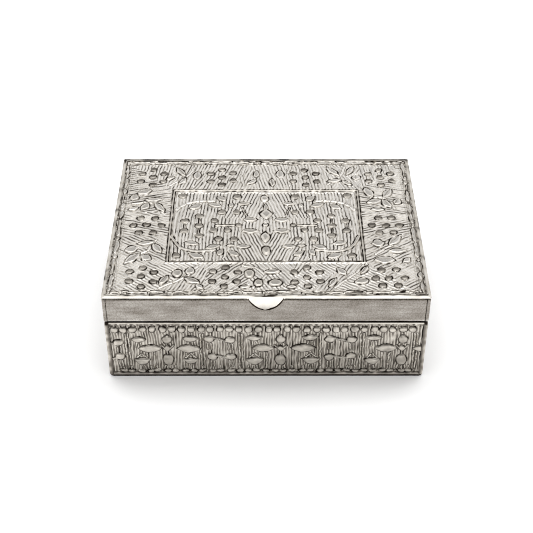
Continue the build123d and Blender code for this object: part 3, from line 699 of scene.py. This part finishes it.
def plate_field(u, v):
    """Berries, leaf sprays and hatching round the centre panel."""
    relief = new_relief(u, v)
    pick = np.random.default_rng(7)
    clusters = [
        (-39.8, 27.0, True), (40.2, 27.0, True), (-15.6, 27.1, True), (13.7, 27.0, True),
        (-39.7, -0.9, False), (39.9, -1.1, False),
        (-39.4, -28.0, True), (38.9, -28.5, False), (-13.1, -27.9, True), (13.1, -28.2, True),
    ]
    for cluster in clusters:
        for x, y in seven(*cluster):
            jx, jy, turn = pick.uniform(-0.25, 0.25), pick.uniform(-0.25, 0.25), pick.uniform(0, 90)
            press_oval(relief, x + jx, y + jy, 1.14, 1.0, turn * 0.2, shoulder=0.26, tone=pick.uniform(0.34, 0.6))
    # Leaves: (x, y, half length, half width, turn in degrees).
    leaves = [
        (-42.0, 18.2, 2.6, 1.6, 20), (-45.2, 14.9, 1.9, 1.5, 75), (-38.6, 13.6, 3.1, 1.2, 5),
        (-41.2, 9.6, 2.4, 1.4, 60), (-36.2, 9.2, 3.3, 1.2, -55), (-45.0, 8.4, 1.8, 1.0, 20),
        (-39.3, -10.6, 3.0, 1.2, 10), (-43.8, -14.0, 2.2, 1.8, 20), (-35.5, -13.4, 3.0, 1.4, -58),
        (-43.2, -18.8, 3.6, 1.6, 48), (-38.7, -18.3, 2.0, 1.6, -32),
        (35.6, 17.8, 3.3, 1.4, -66), (42.0, 17.4, 2.8, 1.4, 55), (37.0, 12.6, 2.7, 1.5, 12),
        (41.2, 11.2, 2.9, 1.4, -60), (45.0, 12.4, 1.9, 1.4, 60), (38.0, 8.0, 2.2, 1.1, 0),
        (36.6, -10.8, 2.2, 2.0, 0), (42.2, -9.4, 3.3, 1.5, 50), (42.6, -14.8, 3.0, 1.2, 0), (38.2, -19.6, 3.4, 1.9, 0),
        (45.2, -19.8, 1.8, 1.1, 40),
        (-30.0, 30.4, 3.2, 1.1, -58), (-24.2, 28.2, 2.6, 1.4, 85), (-29.2, 24.6, 2.4, 1.0, 60),
        (-33.6, 26.6, 1.7, 0.9, 30), (-3.4, 29.0, 2.3, 1.1, 90), (5.0, 29.0, 2.5, 1.4, 90),
        (-5.0, 24.2, 2.2, 1.0, 40), (2.2, 24.0, 2.6, 1.0, 95), (23.6, 30.8, 3.5, 1.1, -52),
        (29.8, 31.2, 3.1, 1.1, 64), (24.0, 25.0, 2.7, 1.1, 12), (31.8, 27.0, 1.7, 1.5, 90),
        (28.2, 23.6, 2.2, 0.9, -35),
        (-32.2, -29.6, 2.6, 1.2, 58), (-23.4, -29.8, 2.8, 1.3, -28), (-24.2, -25.2, 1.9, 1.5, 60),
        (-20.8, -33.0, 1.8, 0.9, -40), (1.8, -25.4, 2.8, 1.3, 5), (20.9, -30.8, 2.5, 1.1, 60),
        (24.0, -25.4, 2.3, 1.3, -50), (30.0, -30.2, 2.5, 1.5, 10), (31.2, -24.8, 2.4, 1.0, 60),
        (-6.6, -32.9, 1.8, 0.8, 0), (8.0, -33.0, 1.8, 0.8, 0),
    ]
    for x, y, long, wide, angle in leaves:
        press_leaf(relief, x, y, long, wide, angle, shoulder=0.4, vein=pick.uniform(0.0, 0.6))
    for x, y, long, wide, angle in [
        (-5.3, -26.4, 2.2, 1.5, 90), (-2.5, -31.0, 1.9, 1.4, 80), (2.9, -30.9, 2.1, 1.7, 0),
        (-28.2, -26.3, 2.0, 1.6, 90),
    ]:
        press_oval(relief, x, y, long, wide, angle, shoulder=0.6, tone=0.12)
    for chain in [
        [(-33.4, -33.4), (-29.0, -30.6), (-24.6, -27.4), (-22.0, -23.0)],
        [(21.6, -33.2), (25.6, -29.0), (28.6, -26.0), (31.0, -22.4)],
        [(-45.4, -21.0), (-41.0, -16.4), (-38.4, -14.6), (-36.0, -9.0)],
        [(35.4, -16.6), (38.6, -13.4), (41.0, -12.0), (45.0, -7.4)],
        [(-45.6, 11.4), (-41.6, 12.2), (-38.0, 11.4), (-35.0, 6.0)],
        [(36.0, 14.6), (39.0, 14.8), (40.6, 14.4), (43.8, 8.2)],
        [(-33.6, 22.0), (-28.0, 27.0), (-25.4, 33.0)],
        [(21.6, 22.6), (26.2, 27.8), (28.0, 33.4)],
        [(-7.6, -22.6), (-3.4, -23.4), (0.0, -27.6), (-4.0, -33.4)],
        [(8.6, 33.2), (7.6, 29.0), (8.4, 22.0)], [(-7.6, 33.0), (-8.6, 28.0), (-7.8, 22.0)],
    ]:
        press_stem(relief, chain, 0.75, outlined=False)
    out_x = np.maximum(centre_left - u, u - centre_right)
    within = -np.maximum(out_x, v - centre_back)
    relief.near = np.where(v > centre_front, np.maximum(relief.near, within), relief.near)
    marks = relief.score
    flank = np.abs(u) - 33.0 > np.abs(v + 0.8) - 21.0
    # The hatching changes its lean from zone to zone: (from u, to u, skew of the zone's sides, lean in degrees).
    hatch(relief, (u * 0.9 - v * 0.43) / 1.15, ~flank, 0.2, 98)
    for back, zones in (
        (True, (
            (-60, -33, 0, 8), (-33, -22, 0.5, 14), (-22, -5, 0, 17), (-5, 7, 0, -14), (7, 22, 0, -10),
            (22, 33, -0.6, -24), (33, 60, 0, -8),
        )),
        (False, (
            (-60, -28, 1.0, -52), (-28, -19, 1.0, 22), (-19, -6, 0, 44), (-6, 9, 0, -34), (9, 20, 0.9, -46),
            (20, 27, 0.9, 30), (27, 60, 0.9, -56),
        )),
    ):
        for k, (start, stop, skew, lean) in enumerate(zones):
            place = u - skew * (v - (28 if back else -28)) + 0.8 * drift(u, v, 6.0, 90)
            zone = ~flank & ((v > 0) == back) & (place >= start) & (place < stop)
            lean = math.radians(lean)
            phase = (u * math.cos(lean) - v * math.sin(lean)) / 1.12 + 0.37 * k
            hatch(relief, phase, zone, 0.2 if back else 0.16, 100 + k)
    for k, (low, high, lean) in enumerate(((-60, -6, -34), (-6, 6, -18), (6, 60, 14))):
        place = v + 0.8 * drift(u, v, 6.0, 91)
        zone = flank & (place >= low) & (place < high)
        lean = np.radians(lean * np.sign(-u))
        hatch(relief, (u * np.sin(lean) - v * np.cos(lean)) / 1.2 + 0.4 * k, zone, 0.15, 120 + k)
    relief.score *= np.where(flank, 0.76, 0.72)
    relief.score = np.maximum(relief.score * (relief.work < 0.02), marks)
    lip = 0.26 + 0.05 * drift(u, v, 7.0, 97) - np.abs(v - centre_front - 0.03 - 0.08 * drift(u, v, 9.0, 99))
    lip = np.sin(np.clip(lip / 0.2, 0, 1) * math.pi / 2) * (out_x < 0.3)
    relief.work, relief.score = np.maximum(relief.work, 0.8 * plate_relief * lip), relief.score * (1 - lip)
    return relief


def plate_braid(u, v, relief):
    """Two lines that cross like a braid down the sides and step like brickwork along the front and back, inside the
    plain rim, and a fine ridge within them."""
    from_edge = np.minimum(half_w - np.abs(u), half_d - np.abs(v))
    at_side = half_w - np.abs(u) < half_d - np.abs(v)
    along = np.where(at_side, v, u)
    turn = 2 * math.pi * along * np.where(at_side, 7.4 / (2 * half_d), 8.4 / (2 * half_w)) + 1.7 * drift(u, v, 8.0, 8)
    middle = (braid_out + braid_in) / 2 + 0.18 * drift(u, v, 5.0, 9)
    swing = (0.72 + 0.25 * drift(u, v, 5.0, 10)) * np.abs(np.sin(turn))
    links = 0.1 + swing - np.abs(from_edge - middle)
    step = 0.28 * np.clip(6 * np.sin(turn), -1, 1)
    rows = 0.38 + 0.1 * drift(u, v, 2.4, 12) - np.abs(np.abs(from_edge - middle - step) - 0.52)
    rows = np.minimum(rows, 2.2 * np.abs(np.sin(turn + np.where(from_edge > middle + step, 0.9, 0.0))) - 0.2)
    press(relief, np.where(at_side, links, rows), 0.25, plate_relief * 0.9, 0.06 + 0.22 * drift(u, v, 1.6, 13))
    line = np.clip((0.3 - np.abs(from_edge - line_in + 0.3)) / 0.2, 0, 1) * (0.6 + 0.4 * drift(u, v, 4.0, 11))
    relief.work = np.maximum(relief.work, plate_relief * 0.5 * np.clip(line, 0, 1))


def plate_centre(u, v):
    """Centre panel: double frame line, corner berries, column, two scrolls with fruit, and buds on bare stems."""
    relief = new_relief(u, v)
    front = v - centre_front + 0.35
    reach = np.minimum(np.minimum(u - centre_left, centre_right - u), np.minimum(front, centre_back - v))
    uneven = 0.08 * drift(u, v, 6.0, 93)
    press(relief, 0.31 - np.abs(reach - 0.38 - uneven), 0.2, plate_relief * 0.8, 0.03)
    for x, y in ((-28.7, 15.8), (28.0, 15.9), (-29.0, -17.3), (27.7, -17.3)):
        press_oval(relief, x, y, 1.35, 1.25, shoulder=0.3, tone=0.3)
    # The column up the middle.
    press_oval(relief, -0.5, 14.2, 1.9, 1.35, 90, shoulder=0.7)
    press_leaf(relief, 0.0, 9.0, 2.2, 0.8, 90)
    press_lozenge(relief, 0.0, 5.4, 3.0, 2.2, 90, shoulder=0.9)
    press_oval(relief, -0.2, -0.7, 0.95, 0.9)
    press_lozenge(relief, -0.2, -7.3, 2.9, 1.8, 90, shoulder=0.9)
    press_oval(relief, 0.0, -14.5, 2.2, 1.4, 90, shoulder=0.7, tone=0.2)
    # On either side a scroll open to the column's side, its fruit and leaves, and buds and fruit on bare stems.
    for side, cx in ((-1, -22.4), (1, 21.9)):
        for scroll, outlined in (
            (((-8.0, 7.6), (-6.6, 9.8), (-4.6, 11.3), (-2.2, 12.3), (0.2, 12.8), (2.8, 12.9), (4.6, 12.6)), False),
            (((-8.6, -7.2), (-7.2, -10.8), (-5.6, -13.0), (-3.6, -14.3), (-1.6, -14.9), (1.2, -15.0), (3.6, -14.7),
              (5.6, -14.3)), True),
        ):
            press_stem(relief, [(cx - side * x, y) for x, y in scroll], 1.05, plate_relief, 0.2, outlined)
        press_stem(relief, [(cx - side * 0.1, 2.8), (cx, -6.0)], 0.4, 0.2)
        press_stem(relief, [(cx + side * 4.7, 1.0), (cx + side * 4.9, -3.6)], 0.4, 0.2)
        for x, y in ((0.0, 4.2), (0.0, -1.2), (-0.3, -6.6), (4.7, 1.4), (4.9, -4.0)):
            press_oval(relief, cx + side * x, y, 1.3, 1.15, shoulder=0.3, tone=0.28)
        press_leaf(relief, cx + side * 1.6, 9.4, 2.3, 1.2, side * -25)
        press_leaf(relief, cx + side * 2.0, -10.8, 2.5, 1.1, side * 8)
        press_leaf(relief, cx + side * 0.2, -17.4, 2.7, 1.3, side * 24)
        for x, y, long, wide, angle in (
            (17.4, 10.4, 2.5, 1.2, -18), (15.2, 14.2, 1.9, 1.3, -40), (7.6, 11.2, 2.2, 1.0, 4),
            (17.3, -12.7, 2.6, 1.1, 20), (7.5, -12.5, 2.4, 1.0, 2), (10.6, -16.2, 2.1, 1.1, -35),
            (14.8, -15.6, 1.7, 1.1, 60), (5.3, 2.0, 2.6, 1.1, 0), (5.2, -4.2, 2.9, 1.2, 0),
            (11.9, 10.4, 1.3, 0.8, 80), (11.6, -12.0, 1.4, 0.7, 0),
        ):
            press_leaf(relief, side * x, y, long, wide, side * -angle)
        for x, y, size in (
            (9.9, 15.2, 1.4), (14.9, 6.3, 1.35), (9.8, 6.3, 1.2), (15.6, -8.5, 1.3), (10.5, -8.6, 1.2),
            (17.3, 1.6, 1.2), (17.5, -3.7, 1.25), (12.8, -3.6, 1.2), (9.0, -1.0, 0.9),
        ):
            press_oval(relief, side * x, y, size, size * 0.94, shoulder=0.3, tone=0.26)
        press_stem(relief, [(side * 16.8, -1.1), (side * 10.6, -1.1)], 0.7)
        press_stem(relief, [(side * 8.0, 8.6), (side * 6.6, 4.4)], 0.5)
    # Hatching: upright, but for a fan behind the middle and a spread foot before it. The frame keeps a plain margin.
    above, below = np.clip(v - 3.0, 0, None), np.clip(-5.0 - v, 0, None)
    upright = np.abs(u) + 0.12 * above - 0.04 * below + 0.25 * np.sin(v / 4.0)
    edge = 0.9 * drift(u, v, 5.0, 92)
    fan = (above > 0) & (np.abs(u) + 0.5 * above + edge < 15)
    foot = (below > 0) & (np.abs(u) - 0.55 * below + edge < 6.5)
    marks = relief.score
    hatch(relief, upright / 1.15, ~fan & ~foot, 0.2, 130)
    hatch(relief, (np.abs(u) + 0.3 * above) / 1.2, fan, 0.2, 131)
    hatch(relief, (np.abs(u) + 0.36 * below) / 1.15, foot, 0.2, 132)
    relief.score *= np.where(foot, 0.78, 1.0)
    groove = np.clip(1 - np.abs(reach - np.where(front > reach, 1.08, 1.25) - uneven) / 0.45, 0, 1)
    depth = np.where(front > reach, 0.3, 0.52) + 0.2 * drift(u, v, 3.0, 94)
    relief.score = np.maximum(relief.score * (reach > 1.4), depth * np.clip(3 * groove, 0, 1))
    ridge = np.clip((0.25 - np.abs(reach - 1.75 - uneven)) / 0.15, 0, 1) * (front > reach)
    relief.score *= 1 - ridge
    relief.ribs = np.maximum(relief.ribs * (reach > 1.5), 0.3 * ridge)
    relief.score = np.maximum(relief.score * (relief.work < 0.02), marks)
    return relief


# The plate is made in pieces that meet along the fine line and the frame, each with its points closest across its ribs.
cut_x, cut_y = half_w - line_in, half_d - line_in
edge_x, edge_y = half_w - 1.0, half_d - 1.0


def plate_heights(u, v):
    """Heights and tarnish of the plate outside its centre panel."""
    across, along = np.meshgrid(u, v)
    relief = plate_field(across, along)
    plate_braid(across, along, relief)
    relief.ribs *= np.minimum(half_w - np.abs(across), half_d - np.abs(along)) > line_in - 0.5
    height, tarnish = finish_relief(relief, outline=0.84, lean=0.2, bold=0.25, collar=0.08)
    from_edge = np.minimum(half_w - np.abs(across), half_d - np.abs(along))
    under = (from_edge < line_in - 0.6) & (relief.near < 0)
    tarnish = np.where(under, np.maximum(tarnish, 0.26 + 0.3 * drift(across, along, 2.0, 53)), tarnish)
    tarnish *= 1 - 0.12 * np.exp(-(((from_edge - 2.8) / 0.6) ** 2))
    # Dark lines: a broad one inside the rim, fainter at the back, and a fine one on either side of the ridge.
    rim_line = np.exp(-(((from_edge - groove_in - 0.12 * drift(across, along, 4.0, 55)) / 0.34) ** 2))
    tarnish = np.maximum(tarnish, np.where(along > 30, 0.15, 0.6) * rim_line)
    for inset, depth in ((line_in - 0.62, 0.55), (line_in + 0.08, 0.35)):
        fine = np.exp(-(((from_edge - inset - 0.06 * drift(across, along, 5.0, 59)) / 0.14) ** 2))
        tarnish = np.maximum(tarnish, depth * fine)
    return height + plate_ground, np.clip(tarnish, 0, 1)


pieces = []
u = joined((-edge_x, -cut_x, 0.16), (-cut_x, cut_x, 0.22), (cut_x, edge_x, 0.16))
v = joined((-edge_y, -cut_y, 0.16), (-cut_y, cut_y, 0.22), (cut_y, edge_y, 0.16))
hole = ((-cut_x, -cut_y), (cut_x, cut_y))
pieces.append(relief_sheet("lid_braid", u, v, *plate_heights(u, v), plate_low, hole))
for name, x0, x1, y0, y1, step_x, step_y in (
    ("lid_field_front", -cut_x, cut_x, -cut_y, centre_front, 0.13, 0.2),
    ("lid_field_back", -cut_x, cut_x, centre_back, cut_y, 0.13, 0.2),
    ("lid_field_left", -cut_x, centre_left, centre_front, centre_back, 0.2, 0.14),
    ("lid_field_right", centre_right, cut_x, centre_front, centre_back, 0.2, 0.14),
):
    u, v = joined((x0, x1, step_x)), joined((y0, y1, step_y))
    pieces.append(relief_sheet(name, u, v, *plate_heights(u, v), plate_low))
u, v = joined((centre_left, centre_right, 0.135)), joined((centre_front, centre_back, 0.21))
height, tarnish = finish_relief(plate_centre(*np.meshgrid(u, v)), tops=0.2, lean=0.34)
pieces.append(relief_sheet("lid_centre_panel", u, v, height + plate_ground, tarnish, plate_low))
for piece in pieces:
    piece.data.materials.append(embossed_silver)
    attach(piece, "lid")
    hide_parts("lid_plate")

# ---------------------------------------------------------------- Lid rim
# The plate's own edge, turned down and burnished to a round bright bead, a little uneven from the hammer. It goes
# round in one piece, and its profile is given from the seam with the bands below to the edge of the braid.
rim_seam, rim_under, rim_crest, rim_back = 33.0, 33.2, 33.4, 33.77
rim_profile = (
    (0.6, 32.62), (0.34, 32.74), (0.14, 32.93), (0.03, 33.12), (0.0, 33.28), (0.08, 33.42), (0.26, 33.5), (0.55, 33.6),
    (0.8, 33.68), (1.0, 33.73), (1.16, 33.73), (1.26, 33.62), (1.28, 32.62),
)
stations = []
for side in range(4):
    run = 2 * (half_w if side % 2 == 0 else half_d)
    places = joined((0.0, 0.6, 0.2), (0.6, run - 0.6, 1.75), (run - 0.6, run, 0.2))[:-1]
    stations += [(side, p / run, min(p, run - p)) for p in places]
bpy.ops.object.select_all(action="DESELECT")
bpy.ops.mesh.primitive_torus_add(major_segments=len(stations), minor_segments=len(rim_profile))
rim = bpy.context.object
rim.name = rim.data.name = "lid_rim"
points = []
for side, share, from_corner in stations:
    corner = 0.22 * max(0.0, 1 - from_corner / 0.45) ** 2
    for inset, z in rim_profile:
        wide, deep = half_w - inset - corner, half_d - inset - corner
        ends = [(-wide, -deep), (wide, -deep), (wide, deep), (-wide, deep), (-wide, -deep)]
        x = ends[side][0] + (ends[side + 1][0] - ends[side][0]) * share
        y = ends[side][1] + (ends[side + 1][1] - ends[side][1]) * share
        points.append((x, y, z, inset))
points = np.array(points)
x, y, z, inset = points.T
behind = np.clip((y - half_d + 2.0) / 0.4, 0, 1) * np.clip((z - rim_under) * 10, 0, 1)
z += behind * (rim_back - z) * np.clip(inset * 12 + 0.4, 0, 1)
wave = drift(x, y, 7.0, 50)
z += np.where(z > rim_crest, 0.03 * wave - 0.02, 0)
pull = np.clip(inset, 0, 2)[:, None] * 0.16 * drift(x, y, 4.0, 51)[:, None]
inward = np.sign(points[:, :2]) * (np.abs(points[:, :2]) > np.array([half_w, half_d]) - 1.6)
points[:, :2] -= inward * pull + inward * np.where(inset < 0.1, 0.02 * (1 + wave), 0)[:, None]
place_points(rim, points[:, :3] * 0.001)
# Tarnish and painted shade: the front rim is painted darker inside its bright edge as shade, narrowing its highlight,
# # and darker by the thumb tab; a darker line is painted along the back as shade; the sides stay bright. Below the seam
# # the rim is painted dark as shade.
rubbed = np.clip((y + half_d - 1.6) / 0.8, 0, 1) * (0.18 + 0.09 * drift(x, y, 3.0, 54))
uneven = 0.3 * drift(x, y, 5.0, 58)
by_tab = np.clip(1.8 - np.abs(x + 0.1) / 3.4, 0, 1) * (0.42 + uneven) * (inset > 0.3)
front_rim_darkening = np.maximum(np.clip((inset - 0.5 - 0.5 * uneven) / 0.55, 0, 1) * (0.42 + uneven), by_tab)
at_back = (y > half_d - 1.6) & (inset > 0.3) & (inset < 0.95)
elsewhere = np.where(at_back, 0.22 + uneven, 0.05 + 0.08 * (inset < 0.3))
rubbed += np.where(y < -half_d + 1.6, np.clip(front_rim_darkening, 0, 1), elsewhere)
rubbed = np.where(z < rim_under, np.maximum(rubbed, 0.25), rubbed)
set_tarnish_and_shade(rim, np.where(z < rim_seam, 0.35, rubbed))
bpy.ops.object.mode_set(mode="EDIT")
bpy.ops.mesh.select_all(action="SELECT")
bpy.ops.mesh.normals_make_consistent(inside=False)
bpy.ops.object.mode_set(mode="OBJECT")
bpy.ops.object.shade_smooth_by_angle(angle=math.radians(50))

# Silver plate burnished by handling: nearly a mirror, with soft smears about 6 mm across.
bright_silver = new_material("burnished_silver_plate")
coords = add_node(bright_silver, "TexCoord")
smear = add_node(bright_silver, "TexNoise", [(coords, "Object", "Vector")], Scale=160.0, Detail=4.0)
# Tarnish, with painted shade in places, from the rim's and tab's points.
hollow = add_node(bright_silver, "Attribute", attribute_name="hollow")
shade = add_node(bright_silver, "Math", [(hollow, "Fac", 0), (smear, "Fac", 1)], operation="ADD")
colour = add_node(bright_silver, "ValToRGB", [(shade, 0, "Fac")])
ramp(colour, (0.3, "#F2EFEA"), (1.0, "#2A241D"), (0.75, "#CFC9BF"))
rough = add_node(bright_silver, "MapRange", [(smear, "Fac", 0)], i1=0.3, i2=0.7, i3=0.12, i4=0.26)
dents = add_node(bright_silver, "Bump", [(smear, "Fac", "Height")], Strength=0.4, Distance=0.00015)
skin = add_node(
    bright_silver, "BsdfPrincipled",
    [(colour, "Color", "Base Color"), (rough, 0, "Roughness"), (dents, 0, "Normal")], Metallic=1.0,
)
add_node(bright_silver, "OutputMaterial", [(skin, 0, "Surface")])
rim.data.materials.append(bright_silver)
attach(rim, "lid")
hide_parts("lid_plate")

# ---------------------------------------------------------------- Thumb tab
# A half-round lip of silver sheet soldered on the front of the rim to lift the lid by, bent down and burnished by
# thumbs. Its sides sweep out into the rim.
tab_half, tab_reach, tab_seat_y, tab_seat_z = 6.7, 3.95, -38.45, 33.52
tab_radius, tab_middle, tab_flank = 6.0, 2.1, 5.5
tab_slope, tab_curl = 20, 30
columns, rows = 61, 19
bpy.ops.object.select_all(action="DESELECT")
bpy.ops.mesh.primitive_grid_add(x_subdivisions=columns - 1, y_subdivisions=rows - 1, size=1)
tab = bpy.context.object
tab.name = tab.data.name = "thumb_tab_lip"
# In plan its tip is an arc about a point behind the seat, and its flanks run straight out into the rim.
x = tab_half * np.sin(np.linspace(-1, 1, columns) * math.pi / 2)
tip = np.sqrt(np.clip(tab_radius ** 2 - x * x, tab_radius ** 2 - tab_flank ** 2, None)) - tab_middle
segment = np.where(np.abs(x) < tab_flank, tip, 0.3 - 2.3 * (np.abs(x) - tab_flank))
out = 0.5 * (segment + np.sqrt(segment ** 2 + 0.25))
share = np.linspace(0, 1, rows)[:, None]
run = -0.35 + (out[None, :] + 0.36) * share
arc = np.linspace(0, 1, 40)[:, None, None] * run[None]
angles = np.radians(tab_slope + tab_curl * np.clip(arc, 0, None) / tab_reach)
y = tab_seat_y - np.trapz(np.cos(angles), arc, axis=0)
z = tab_seat_z - np.trapz(np.sin(angles), arc, axis=0)
place = np.stack([np.broadcast_to(x, run.shape) - 0.1, y, z], axis=-1).reshape(-1, 3) * 0.001
place_points(tab, place)
# Painted shade, with some tarnish, along the lip's outer edge.
inside = (1 - share) * (out + 0.36)[None, :]
lip = 0.5 + 0.2 * drift(place[:, 0] * 1000, place[:, 1] * 1000, 3.4, 56)
dark = np.clip((lip - inside.ravel()) / 0.14, 0, 1) * np.clip((np.tile(out, rows) - 0.35) / 0.3, 0, 1)
set_tarnish_and_shade(tab, dark)
bpy.ops.object.mode_set(mode="EDIT")
bpy.ops.mesh.select_all(action="SELECT")
bpy.ops.mesh.flip_normals()
bpy.ops.object.mode_set(mode="OBJECT")
for kind, settings in (
    ("SOLIDIFY", {"thickness": 0.0007, "offset": -1}),
    ("BEVEL", {"width": 0.0003, "segments": 4, "limit_method": "ANGLE", "angle_limit": math.radians(50)}),
):
    step = tab.modifiers.new(kind.lower(), kind)
    for key, value in settings.items():
        setattr(step, key, value)
    bpy.ops.object.modifier_apply(modifier=step.name)
bpy.ops.object.shade_smooth_by_angle(angle=math.radians(60))
# The underside of the lip is painted a little dark as shade.
up = read_points(tab, "normal")[:, 2]
set_tarnish_and_shade(tab, np.maximum(read_tarnish_and_shade(tab) * (up > 0), 0.25 * (up < 0)))
tab.data.materials.append(bright_silver)
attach(tab, "lid")
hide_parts("thumb_tab")

# ---------------------------------------------------------------- Lid lining
# A thinner wadded pad of the same velvet, glued to its own card, fills the lid between the bands. It faces down on to
# the walls when the box is shut.
lid_pad = wadded_pad("lid_pad", "lid_velvet_pad", 0.0003)
lid_pad.data.materials.append(velvet)
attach(lid_pad, "lid")
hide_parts("lid_velvet_pad")

# ---------------------------------------------------------------- Hinge
# Seven knuckles rolled from silver strip, on bearers soldered to the backs of the tray and the lid, with a drawn steel
# pin through them that is peened over at its ends.
for node, body in (("base_hinge_bearer", "base"), ("lid_hinge_bearer", "lid")):
    piece = eased(node, node + "_strip", 0.00018)
    set_tarnish_and_shade(piece, np.full(len(piece.data.vertices), 0.25))
    piece.data.materials.append(plain_silver)
    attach(piece, body)
    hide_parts(node)
recoat("base_hinge_knuckles", plain_silver)
recoat("lid_hinge_knuckles", plain_silver)

# Drawn steel wire: cool grey, with lines along it from the die, 17 mm long and 0.4 mm apart, coarser than real.
steel = new_material("drawn_steel_wire")
coords = add_node(steel, "TexCoord")
drawn = add_node(steel, "Mapping", [(coords, "Object", "Vector")], Scale=(60.0, 2500.0, 2500.0))
lines = add_node(steel, "TexNoise", [(drawn, 0, "Vector")], Scale=1.0, Detail=3.0)
colour = add_node(steel, "ValToRGB", [(lines, "Fac", "Fac")])
ramp(colour, (0.3, "#A7A9AB"), (0.7, "#C2C4C6"))
skin = add_node(steel, "BsdfPrincipled", [(colour, "Color", "Base Color")], Metallic=1.0, Roughness=0.35)
add_node(steel, "OutputMaterial", [(skin, 0, "Surface")])
recoat("hinge_pin", steel)

# ---------------------------------------------------------------- Studio
# Pale table and backdrop in one sheet, a soft box overhead that lights the table, and a bright room that the silver
# reflects, with a grey card behind the box and a darker space before it.
bpy.ops.mesh.primitive_plane_add(size=12, location=(0, 0, 0))
table = bpy.context.object
table.name = "table"
paper = new_material("white_table")
skin = add_node(paper, "BsdfPrincipled", Roughness=0.9, Base_Color=linear("#F0F0F0"))
add_node(paper, "OutputMaterial", [(skin, 0, "Surface")])
table.data.materials.append(paper)


bpy.ops.object.light_add(type="AREA", location=(0.0, 0.5, 1.65))
overhead = bpy.context.object
overhead.name = "overhead_box"
overhead.data.shape = "RECTANGLE"
overhead.data.size, overhead.data.size_y = 2.2, 0.8
overhead.data.energy = 20.0
overhead.rotation_euler = (Vector((0, 0, 0)) - overhead.location).to_track_quat("-Z", "Y").to_euler()
overhead.visible_glossy = False
world = bpy.data.worlds.new("studio")
bpy.context.scene.world = world
world.use_nodes = True
world.node_tree.nodes.clear()
coords = add_node(world, "TexCoord")
split = add_node(world, "SeparateXYZ", [(coords, "Generated", 0)])
sky = add_node(world, "ValToRGB", [(split, "Z", "Fac")])
ramp(sky, (0.0, "#ECECEC"), (1.0, "#FFFFFF"), (0.72, "#F0F0F0"), (0.86, "#FFFFFF"))
card_way, dark_way = (0, 0.727, 0.687), (0, -0.996, 0.087)
toward = add_node(world, "VectorMath", [(coords, "Generated", 0)], operation="DOT_PRODUCT", i1=card_way)
card = add_node(world, "MapRange", [(toward, "Value", 0)], i1=0.965, i2=0.998, i3=1.0, i4=0.34)
front = add_node(world, "VectorMath", [(coords, "Generated", 0)], operation="DOT_PRODUCT", i1=dark_way)
dark = add_node(world, "MapRange", [(front, "Value", 0)], i1=0.7, i2=0.88, i3=1.1, i4=0.25)
level = add_node(world, "Math", [(card, 0, 0), (dark, 0, 1)], operation="MULTIPLY")
zenith = add_node(world, "MapRange", [(split, "Z", 0)], i1=0.8, i2=0.95, i3=1.0, i4=1.4)
level = add_node(world, "Math", [(level, 0, 0), (zenith, 0, 1)], operation="MULTIPLY")
room = add_node(world, "Background", [(sky, "Color", "Color"), (level, 0, "Strength")])
add_node(world, "OutputWorld", [(room, 0, "Surface")])
bpy.context.scene.view_settings.view_transform = "Standard"
